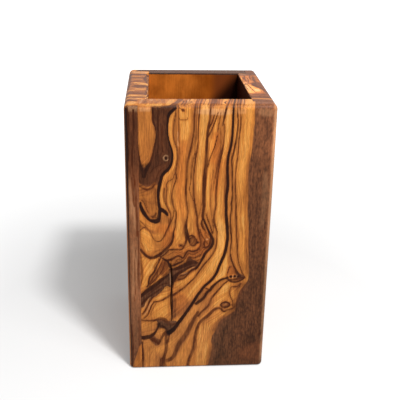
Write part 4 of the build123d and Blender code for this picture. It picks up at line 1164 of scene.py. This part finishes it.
def square_board(width, spacing, check_across):
    """Points and faces of one rabbeted board before rounding: fine grids on what shows, then single
    flat faces where it is glued or plain, and how many are fine. A long check gets closer lines."""
    shoulder = width - wall
    across = grid_lines(
        tongue, width, spacing, tongue + seam_reach, wall - rounding_lines(mouth_round, 3),
        shoulder - seam_reach, shoulder, shoulder + seam_reach, width - rounding_lines(edge_round),
        check_across,
    )
    depth = grid_lines(
        0, wall, depth_spacing, rounding_lines(edge_round), rounding_lines(foot_round, 4),
        tongue - seam_reach, tongue, tongue + seam_reach, wall - rounding_lines(mouth_round, 3),
    )
    up = grid_lines(
        0, box_height, spacing * 1.1, rounding_lines(foot_round, 4),
        box_height - rounding_lines(edge_round), box_height - rounding_lines(mouth_round, 3),
    )
    outer, inner = depth[depth <= tongue], depth[depth >= tongue]
    body, lip = across[across <= shoulder], across[across >= shoulder]
    mouth = up[up >= box_height - mouth_round - 1e-6]

    patches = [  # what shows: its grid, and whether its faces are turned over to point outwards
        ((across, 0, up), False),
        ((width, outer, up), False),
        ((across, outer, box_height), False),
        ((body, inner, box_height), False),
        ((across, outer, 0), True),
        ((body, inner, 0), True),
        ((body, wall, mouth), True),
    ]
    points, faces, count = [], [], 0
    for axes, flip in patches:
        grid = np.stack(np.meshgrid(*axes, indexing="ij"), -1).squeeze()
        index = np.arange(grid.shape[0] * grid.shape[1]).reshape(grid.shape[:2]) + count
        corners = [index[:-1, :-1], index[1:, :-1], index[1:, 1:], index[:-1, 1:]]
        quads = np.stack(corners, -1).reshape(-1, 4)
        faces += (quads[:, ::-1] if flip else quads).tolist()
        points.append(grid.reshape(-1, 3))
        count += len(points[-1])
    soft_faces = len(faces)

    def along(*axes):
        """The points of one edge of a flat face."""
        return np.stack(np.broadcast_arrays(*axes), -1).reshape(-1, 3).astype(float)

    glued_end = [
        along(tongue, 0, up[::-1]), along(tongue, depth[1:-1], 0), along(tongue, wall, [0]),
        along(tongue, wall, mouth), along(tongue, depth[-2:0:-1], box_height),
    ]
    inner_face = [along(body[::-1], wall, 0), along(body, wall, mouth[0])]
    rabbet_shoulder = [
        along(shoulder, inner, 0), along(shoulder, wall, mouth), along(shoulder, inner[-2::-1], box_height),
    ]
    rabbet_floor = [
        along(lip[::-1], tongue, 0), along(lip[:-1], tongue, box_height), along(width, tongue, up[:0:-1]),
    ]
    for edges in (glued_end, inner_face, rabbet_shoulder, rabbet_floor):
        loop = np.vstack(edges)
        points.append(loop)
        faces.append((np.arange(len(loop)) + count).tolist())
        count += len(loop)
    points, inverse = np.unique(np.round(np.vstack(points), 4), axis=0, return_inverse=True)
    inverse = inverse.ravel()
    return points, [inverse[face].tolist() for face in faces], soft_faces


def make_board(name, side, turn, figure, spacing, check=None, losses=None):
    """One upright board as a finished object: its shape, its figure and its place in the ring."""
    width, distance = side
    check_across = []
    if check is not None:
        check_across = check["across"] + np.linspace(-check["reach"], check["reach"], check["grid_lines"])
    points, faces, soft_faces = square_board(width, spacing, check_across)
    across, depth, up = points.T.copy()

    # the edges of the glued faces that show
    shoulder = width - wall
    glued = (across == tongue) | ((depth == tongue) & (across >= shoulder))
    glued |= ((across == shoulder) & (depth >= tongue)) | ((depth == wall) & (across < wall))
    seam_front = glued & (depth == 0)
    seam_end = glued & (across == width)
    seam_rim = glued & (up == box_height)
    seam_foot = glued & (up == 0)

    # the drawing is laid round the corner onto the end, and folded back over the rim
    on_end = (across == width) & (depth > 0)
    drawn_across = np.where(on_end, width + depth, across - rim_slant * depth)
    drawn_up = np.where(on_end | (up < box_height), up, up + depth)
    marks = board_marks(np.column_stack([drawn_across, drawn_up]), figure)

    if check is not None:
        offset = abs(across - check["across"] - check["waver"] * np.sin(up / check["waver_length"]))
        opening = np.clip((up - check["low"]) / check["opens_over"], 0, 1)
        closing = np.clip((check["high"] - up) / check["closes_over"], 0, 1)
        cut = opening * closing * np.clip(1 - offset / check["half_width"], 0, 1)
        depth = np.where(depth == 0, check["depth"] * cut, depth)
        marks["vein"] = np.maximum(marks["vein"], cut)
    depth = np.where(seam_front, seam_dip, depth)
    across = np.where(seam_end, width - seam_dip, across)
    up = np.where(seam_rim, box_height - seam_dip, up)
    up = np.where(seam_foot, seam_dip, up)
    local = round_over(np.column_stack([across, depth, up]), width)
    if losses is not None:
        local = wear_mouth(local, width, losses)

    turn = math.radians(turn)
    x, y = local[:, 0] - width / 2, local[:, 1] - distance
    world = np.column_stack([
        x * math.cos(turn) - y * math.sin(turn),
        x * math.sin(turn) + y * math.cos(turn),
        local[:, 2],
    ])
    mesh = bpy.data.meshes.new(name)
    mesh.from_pydata((world * MM).tolist(), [], faces)
    number = np.arange(len(faces))
    inner_face = number == soft_faces + 1
    mesh.polygons.foreach_set("use_smooth", number < soft_faces)
    mesh.polygons.foreach_set("material_index", inner_face.astype(int))
    for mark, values in marks.items():
        layer = mesh.attributes.new(mark, "FLOAT", "POINT")
        layer.data.foreach_set("value", values.astype(np.float32))
    mesh.update()
    board = bpy.data.objects.new(name, mesh)
    bpy.context.scene.collection.objects.link(board)
    return board


# ---------------------------------------------------------------- finishes

fibre_height = 0.08  # mm that the fibres stand up
wood_ior = 1.5


def colour(code):
    """An sRGB hex colour as the linear one that a shader takes."""
    parts = [int(code[i : i + 2], 16) / 255 for i in (1, 3, 5)]
    return [p / 12.92 if p <= 0.04045 else ((p + 0.055) / 1.055) ** 2.4 for p in parts] + [1.0]


def add(tree, kind, inputs=None, **settings):
    """Adds a node. Settings are its properties, and inputs are values or the sockets to link. By
    number, a Map Range's inputs are 0 the value, 1 and 2 its low and high, and 3 and 4 what those
    become, and a colour Mix's are 0 how much, 6 the first colour and 7 the second."""
    node = tree.nodes.new(kind)
    for key, value in settings.items():
        setattr(node, key, value)
    for key, value in (inputs or {}).items():
        if isinstance(value, bpy.types.NodeSocket):
            tree.links.new(value, node.inputs[key])
        else:
            node.inputs[key].default_value = value
    return node


def new_material(name):
    """An empty node material, and its tree."""
    material = bpy.data.materials.new(name)
    material.use_nodes = True
    material.node_tree.nodes.clear()
    return material, material.node_tree


def in_mm(tree, across, along):
    """Object coordinates in units of a wood feature: so wide across the grain, so long along it."""
    place = add(tree, "ShaderNodeTexCoord").outputs["Object"]
    scale = (1 / (MM * across), 1 / (MM * across), 1 / (MM * along))
    return add(tree, "ShaderNodeVectorMath", {0: place, 1: scale}, operation="MULTIPLY").outputs[0]


def finish_wood(tree, surface, roughness, shine, bump, relief):
    """Ends a wood's tree: its colour, its oiled gloss, and its fibres raised a little."""
    normal = add(tree, "ShaderNodeBump",
                 {"Strength": bump, "Distance": fibre_height * MM, "Height": relief}).outputs[0]
    shader = add(tree, "ShaderNodeBsdfPrincipled",
                 {"Base Color": surface, "Roughness": roughness, "IOR": wood_ior,
                  "Specular IOR Level": shine, "Normal": normal})
    add(tree, "ShaderNodeOutputMaterial", {"Surface": shader.outputs[0]})


def olive_figured(name, golds, hearts):
    """Olive wood, planed, sanded and oiled: golden wood with growth lines from brown to almost
    black, a satin gloss, and end grain that drinks the oil and goes darker. The golds run from the
    palest to the brownest, and the hearts are the heartwood's lighter and darker brown."""
    material, tree = new_material(name)
    mark = {m: add(tree, "ShaderNodeAttribute", attribute_name=m).outputs["Fac"] for m in ("flow", *MARKS)}

    # growth rings: noise across the flow, drawn out over 45 mm up the board
    place = add(tree, "ShaderNodeTexCoord").outputs["Object"]
    height = add(tree, "ShaderNodeSeparateXYZ", {0: place}).outputs["Z"]
    up = add(tree, "ShaderNodeMath", {0: height, 1: 1 / (45 * MM)}, operation="MULTIPLY").outputs[0]
    ring_place = add(tree, "ShaderNodeCombineXYZ", {"X": mark["flow"], "Y": up}).outputs[0]
    rings = add(tree, "ShaderNodeTexNoise",
                {"Vector": ring_place, "Scale": 0.9, "Detail": 5.0, "Roughness": 0.65}).outputs[0]
    fine_rings = add(tree, "ShaderNodeTexNoise",
                     {"Vector": ring_place, "Scale": 2.8, "Detail": 3.0}).outputs[0]

    # other unevenness, by its width across the grain and its length along it in mm; real pores are
    # under 0.1 mm wide, and are drawn coarser so that they show
    uneven = {}
    for part, across, along, detail in (
        ("broad", 9, 30, 2.0), ("fibre", 0.5, 9, 3.0), ("mottle", 0.7, 1.6, 3.0),
        ("fade", 2.5, 5, 1.0), ("pores", 0.22, 1.8, 2.0),
    ):
        uneven[part] = add(tree, "ShaderNodeTexNoise",
                           {"Vector": in_mm(tree, across, along), "Scale": 1.0, "Detail": detail}).outputs[0]
    broad, fibre, mottle = uneven["broad"], uneven["fibre"], uneven["mottle"]

    # the golden wood, by how warm it is
    warmth = add(tree, "ShaderNodeMath", {0: rings, 1: -0.72}, operation="ADD").outputs[0]
    for field, amount in ((fine_rings, 0.65), (broad, 0.5), (mark["tone"], 0.34), (mark["halo"], 0.6)):
        warmth = add(tree, "ShaderNodeMath", {0: field, 1: amount, 2: warmth},
                     operation="MULTIPLY_ADD").outputs[0]
    golden = add(tree, "ShaderNodeValToRGB", {0: warmth})
    ramp = golden.color_ramp
    ramp.elements[0].color = colour(golds[0][1])
    ramp.elements[1].color = colour(golds[-1][1])
    for warm, code in golds[1:-1]:
        ramp.elements.new(warm).color = colour(code)
    rust = add(tree, "ShaderNodeMapRange", {0: broad, 1: 0.5, 2: 0.75, 4: 0.35}).outputs[0]
    rust = add(tree, "ShaderNodeMath", {0: rust, 1: mark["rust"]}, operation="ADD").outputs[0]
    redden = add(tree, "ShaderNodeMix", {0: rust, 6: (1, 1, 1, 1), 7: (1.1, 0.93, 0.84, 1)},
                 data_type="RGBA").outputs[2]
    surface = add(tree, "ShaderNodeVectorMath", {0: golden.outputs[0], 1: redden},
                  operation="MULTIPLY").outputs[0]

    # hairlines, where the ring noise crosses its middle, in patches
    hairlines = []
    for scale, thick, strength, none_at, all_at in (
        (1.35, 0.025, 0.5, 0.42, 0.6), (2.3, 0.035, 0.4, 0.6, 0.42),
    ):
        hairline = add(tree, "ShaderNodeTexNoise",
                       {"Vector": ring_place, "Scale": scale, "Detail": 2.0, "Roughness": 0.5}).outputs[0]
        hairline = add(tree, "ShaderNodeMath", {0: hairline, 1: 0.5}, operation="SUBTRACT").outputs[0]
        hairline = add(tree, "ShaderNodeMath", {0: hairline}, operation="ABSOLUTE").outputs[0]
        hairline = add(tree, "ShaderNodeMapRange",
                       {0: hairline, 1: 0.2 * thick, 2: thick, 3: strength, 4: 0.0}).outputs[0]
        patchy = add(tree, "ShaderNodeMapRange", {0: broad, 1: none_at, 2: all_at}).outputs[0]
        hairline = add(tree, "ShaderNodeMath", {0: hairline, 1: patchy}, operation="MULTIPLY").outputs[0]
        hairlines.append(hairline)

    # the heartwood, streaked and mottled
    heart = add(tree, "ShaderNodeTexNoise",
                {"Vector": in_mm(tree, 1.1, 13), "Scale": 1.0, "Detail": 5.0, "Roughness": 0.65}).outputs[0]
    heart = add(tree, "ShaderNodeMath", {0: mottle, 1: 1.4, 2: heart}, operation="MULTIPLY_ADD").outputs[0]
    heart = add(tree, "ShaderNodeMapRange", {0: heart, 1: 0.92, 2: 1.48}).outputs[0]
    heart = add(tree, "ShaderNodeMix", {0: heart, 6: colour(hearts[1]), 7: colour(hearts[0])},
                data_type="RGBA").outputs[2]
    redder = add(tree, "ShaderNodeMapRange", {0: mark["tone"], 4: 0.6}).outputs[0]
    heart = add(tree, "ShaderNodeMix", {0: redder, 6: heart, 7: colour("#5E3018")},
                data_type="RGBA").outputs[2]

    # the drawn marks, with their edges roughened by the mottle
    rough = add(tree, "ShaderNodeMath", {0: mottle, 1: 0.35, 2: -0.35 / 2},
                operation="MULTIPLY_ADD").outputs[0]
    edged = {}
    for part, low, high in (("heart", 0.3, 0.7), ("line", 0.1, 1.0), ("vein", 0.15, 1.0)):
        edge = add(tree, "ShaderNodeMath", {0: rough, 1: mark[part]}, operation="ADD").outputs[0]
        edged[part] = add(tree, "ShaderNodeMapRange", {0: edge, 1: low, 2: high},
                          interpolation_type="SMOOTHSTEP").outputs[0]
    fade = add(tree, "ShaderNodeMapRange", {0: uneven["fade"], 1: 0.3, 2: 0.6, 3: 0.5, 4: 1.0}).outputs[0]
    line = add(tree, "ShaderNodeMath", {0: edged["line"], 1: fade}, operation="MULTIPLY").outputs[0]
    layers = [
        (hairlines[0], colour("#7A4422")),
        (hairlines[1], colour("#7A4422")),
        (edged["heart"], heart),
        # pale wood, with painted sheen and highlight on rounded edges
        (mark["pale"], colour("#DAA374")),
        (line, colour("#4C220C")),
        (edged["vein"], colour("#220C05")),
    ]
    for mask, paint in layers:
        surface = add(tree, "ShaderNodeMix", {0: mask, 6: surface, 7: paint}, data_type="RGBA").outputs[2]

    # light and dark: fibres, pores and the drawn shades, among them painted highlight and shade on rounded
    # edges
    shade = add(tree, "ShaderNodeMapRange", {0: fibre, 1: 0.3, 2: 0.7, 3: 0.78, 4: 1.16}).outputs[0]
    pores = add(tree, "ShaderNodeMapRange",
                {0: uneven["pores"], 1: 0.3, 2: 0.7, 3: -0.19, 4: 0.19}).outputs[0]
    for more in (pores, mark["shade"]):
        shade = add(tree, "ShaderNodeMath", {0: shade, 1: more}, operation="ADD").outputs[0]
    surface = add(tree, "ShaderNodeVectorMath", {0: surface, "Scale": shade}, operation="SCALE").outputs[0]

    # end grain: the rim and the foot
    normal = add(tree, "ShaderNodeNewGeometry").outputs["Normal"]
    upward = add(tree, "ShaderNodeSeparateXYZ", {0: normal}).outputs["Z"]
    end_grain = add(tree, "ShaderNodeMath", {0: upward}, operation="ABSOLUTE").outputs[0]
    end_grain = add(tree, "ShaderNodeMapRange", {0: end_grain, 1: 0.5, 2: 1.0, 4: 0.22}).outputs[0]
    surface = add(tree, "ShaderNodeMix", {0: end_grain, 6: surface, 7: colour("#94634A")},
                  data_type="RGBA").outputs[2]

    satin = add(tree, "ShaderNodeMapRange", {0: mottle, 1: 0.3, 2: 0.7, 3: 0.38, 4: 0.52}).outputs[0]
    finish_wood(tree, surface, roughness=satin, shine=0.08, bump=0.35, relief=fibre)
    return material


def olive_plain(name, pale, deep, heartwood_and_shadow_from=None):
    """Olive wood from the plain part of the board, planed inside and oiled: a quiet orange brown
    with faint cloudy streaks along the grain. It may turn to brown heartwood from so many mm right
    of the middle, with painted shade that darkens it towards there, and a painted shadow of the
    right board, almost black, over its right, which reaches further left below the rim."""
    material, tree = new_material(name)
    streak = add(tree, "ShaderNodeTexNoise",
                 {"Vector": in_mm(tree, 7, 14), "Scale": 1.0, "Detail": 4.0, "Roughness": 0.6}).outputs[0]
    fibre = add(tree, "ShaderNodeTexNoise",
                {"Vector": in_mm(tree, 0.5, 8), "Scale": 1.0, "Detail": 3.0}).outputs[0]
    cloud = add(tree, "ShaderNodeMath", {0: fibre, 1: 0.25, 2: streak}, operation="MULTIPLY_ADD").outputs[0]
    cloud = add(tree, "ShaderNodeMapRange", {0: cloud, 1: 0.45, 2: 0.8}).outputs[0]
    surface = add(tree, "ShaderNodeMix", {0: cloud, 6: colour(deep), 7: colour(pale)},
                  data_type="RGBA").outputs[2]
    if heartwood_and_shadow_from is not None:
        place = add(tree, "ShaderNodeTexCoord").outputs["Object"]
        place = add(tree, "ShaderNodeSeparateXYZ", {0: place}).outputs  # by axis
        low, rim = (box_height - 13) * MM, box_height * MM
        # the painted shadow's edge slants: 11 mm further left 13 mm below the rim
        sooner = add(tree, "ShaderNodeMapRange",
                     {0: place["Z"], 1: low, 2: rim, 3: 11 * MM, 4: 0.0}).outputs[0]
        right = add(tree, "ShaderNodeMath", {0: place["X"], 1: sooner}, operation="ADD").outputs[0]
        # painted shade: darker, deeper orange towards the right, where the right board shades the back wall
        amber = add(tree, "ShaderNodeMapRange",
                    {0: place["X"], 1: (heartwood_and_shadow_from - 12) * MM, 2: heartwood_and_shadow_from * MM, 4: 0.7}).outputs[0]
        brown = add(tree, "ShaderNodeMapRange",
                    {0: place["X"], 1: (heartwood_and_shadow_from - 2) * MM, 2: (heartwood_and_shadow_from + 3) * MM},
                    interpolation_type="SMOOTHSTEP").outputs[0]
        # painted shadow of the right board: almost black at the right, reaching further left below the rim
        black = add(tree, "ShaderNodeMapRange",
                    {0: right, 1: (heartwood_and_shadow_from + 7) * MM, 2: (heartwood_and_shadow_from + 15) * MM},
                    interpolation_type="SMOOTHSTEP").outputs[0]
        for mask, code in ((amber, "#843D06"), (brown, "#6A3212"), (black, "#1E0802")):
            surface = add(tree, "ShaderNodeMix", {0: mask, 6: surface, 7: colour(code)},
                          data_type="RGBA").outputs[2]
    finish_wood(tree, surface, roughness=0.5, shine=0.06, bump=0.3, relief=fibre)
    return material


# ---------------------------------------------------------------- the box

inside_wood = olive_plain("olive_wood_planed_inside", "#BA6A24", "#7E4014")
# the back's inner face: brown heartwood at the right, with painted shade and a painted shadow of the right
# board
inside_back_heartwood_and_shadow = olive_plain("olive_wood_planed_inside_back_heartwood_and_painted_shadow", "#B86622", "#763A0C", heartwood_and_shadow_from=8.4)
# the right board's inside, almost black: painted shade, as it faces away from the lamp
inside_painted_shade = olive_plain("olive_wood_planed_inside_painted_shade", "#341306", "#200902")

golds = (  # how warm, and what colour
    (0, "#D2934C"), (0.13, "#C8853C"), (0.25, "#BD7734"),
    (0.5, "#A6642C"), (0.75, "#844C22"), (1, "#5A2E14"),
)
hearts = ("#74462B", "#4A2B1B")

# a side's width, and how far it stands from the middle
front_side = (box_width, box_depth / 2)
flank_side = (box_depth, box_width / 2)

long_check = {
    "across": 17.9, "low": 25.0, "high": 55.0, "half_width": 0.3, "depth": 1.0,
    "waver": 0.25, "waver_length": 3.1, "opens_over": 4, "closes_over": 6,
    "reach": 0.8, "grid_lines": 15,
}
mouth_losses = (  # how far the mouth's edge is worn back on the left board, from the back to the front
    0.9, 0.7, 0.95, 0.55, 0.75, 0.35, 0.5, 0.2, 0.3, 0.05, 0.1,
    0, 0.15, 0, 0.2, 0.1, 0.4, 0.25, 0.6, 0.4, 0.8,
)

boards = [  # side, how far it is turned, figure, spacing of the grid, check, mouth's wear, inside
    ("front", front_side, 0, FRONT_FIGURE, 0.3, long_check, None, inside_wood),
    ("right", flank_side, 90, RIGHT_FIGURE, 0.38, None, None, inside_painted_shade),
    ("back", front_side, 180, BACK_FIGURE, 0.38, None, None, inside_back_heartwood_and_shadow),
    ("left", flank_side, 270, LEFT_FIGURE, 0.38, None, mouth_losses, inside_wood),
]
for label, side, turn, figure, spacing, check, losses, inside_finish in boards:
    board = make_board(f"{label}_board_finished", side, turn, figure, spacing, check, losses)
    board.data.materials.append(olive_figured(f"olive_wood_oiled_{label}", golds, hearts))
    board.data.materials.append(inside_finish)
    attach(board, "root")
    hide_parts(f"{label}_board")

floor_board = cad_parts["bottom_board"]
floor_board.data.materials.clear()
floor_board.data.materials.append(olive_plain("olive_wood_bottom_board", "#B06C30", "#7A4420"))


# ---------------------------------------------------------------- table, light and camera


def seen_directly(tree):
    """1 for what is seen as it stands, mirrored in gloss or through glass, and 0 for the light it
    gives."""
    path = add(tree, "ShaderNodeLightPath").outputs
    seen = path["Is Camera Ray"]
    for kind in ("Is Glossy Ray", "Is Transmission Ray"):
        seen = add(tree, "ShaderNodeMath", {0: seen, 1: path[kind]}, operation="MAXIMUM").outputs[0]
    return seen


def make_table():
    """Plain pale table, painted matt. It glows more away from the object, so that it shows white
    where nothing shades it and keeps the object's shadow."""
    half, top = 3.0, -0.1 * MM  # metres from the middle to an edge, and just under the box
    mesh = bpy.data.meshes.new("table")
    corners = [(-half, -half, top), (half, -half, top), (half, half, top), (-half, half, top)]
    mesh.from_pydata(corners, [], [(0, 1, 2, 3)])
    table = bpy.data.objects.new("table", mesh)
    bpy.context.scene.collection.objects.link(table)
    material, tree = new_material("paint_matt_white")
    place = add(tree, "ShaderNodeTexCoord").outputs["Object"]
    away = add(tree, "ShaderNodeVectorMath", {0: place}, operation="LENGTH").outputs["Value"]
    glow = add(tree, "ShaderNodeMapRange", {0: away, 1: 0.1, 2: 0.42, 3: 0.21, 4: 1.0}).outputs[0]
    glow = add(tree, "ShaderNodeMath", {0: glow, 1: seen_directly(tree)}, operation="MULTIPLY").outputs[0]
    matt = add(tree, "ShaderNodeBsdfDiffuse", {"Color": (0.56, 0.56, 0.56, 1)}).outputs[0]
    white = add(tree, "ShaderNodeEmission", {"Color": (1, 1, 1, 1), "Strength": glow}).outputs[0]
    both = add(tree, "ShaderNodeAddShader", {0: matt, 1: white}).outputs[0]
    add(tree, "ShaderNodeOutputMaterial", {"Surface": both})
    mesh.materials.append(material)


def make_light():
    """A soft lamp high on the right in front, a wide weak one round it, and an even pale room."""
    place = Vector((0.188, -0.336, 0.641))
    for name, width, power in (("lamp", 0.1, 4.65), ("lamp_halo", 0.38, 2.45)):  # metres and watts
        lamp = bpy.data.lights.new(name, "AREA")
        lamp.shape = "DISK"
        lamp.size = width
        lamp.energy = power
        holder = bpy.data.objects.new(name, lamp)
        bpy.context.scene.collection.objects.link(holder)
        holder.location = place
        holder.rotation_euler = place.to_track_quat("Z", "Y").to_euler()

    world = bpy.data.worlds.new("pale_room")
    bpy.context.scene.world = world
    world.use_nodes = True
    tree = world.node_tree
    tree.nodes.clear()
    strength = add(tree, "ShaderNodeMapRange", {0: seen_directly(tree), 3: 0.35, 4: 1.0}).outputs[0]
    sky = add(tree, "ShaderNodeBackground", {"Color": (1, 1, 1, 1), "Strength": strength}).outputs[0]
    add(tree, "ShaderNodeOutputWorld", {"Surface": sky})


def make_camera():
    """A camera in front and above, a little left of the middle, that looks down at the box."""
    lens = bpy.data.cameras.new("camera")
    lens.lens = 58.6
    lens.sensor_width = 36
    lens.shift_y = -0.0375
    camera = bpy.data.objects.new("camera", lens)
    bpy.context.scene.collection.objects.link(camera)
    camera.location = (-16.8 * MM, -267 * MM, 180.1 * MM)
    camera.rotation_euler = (1.1903, -0.0188, -0.0638)
    bpy.context.scene.camera = camera


make_table()
make_light()
make_camera()

view = bpy.context.scene.view_settings
view.view_transform = "Standard"
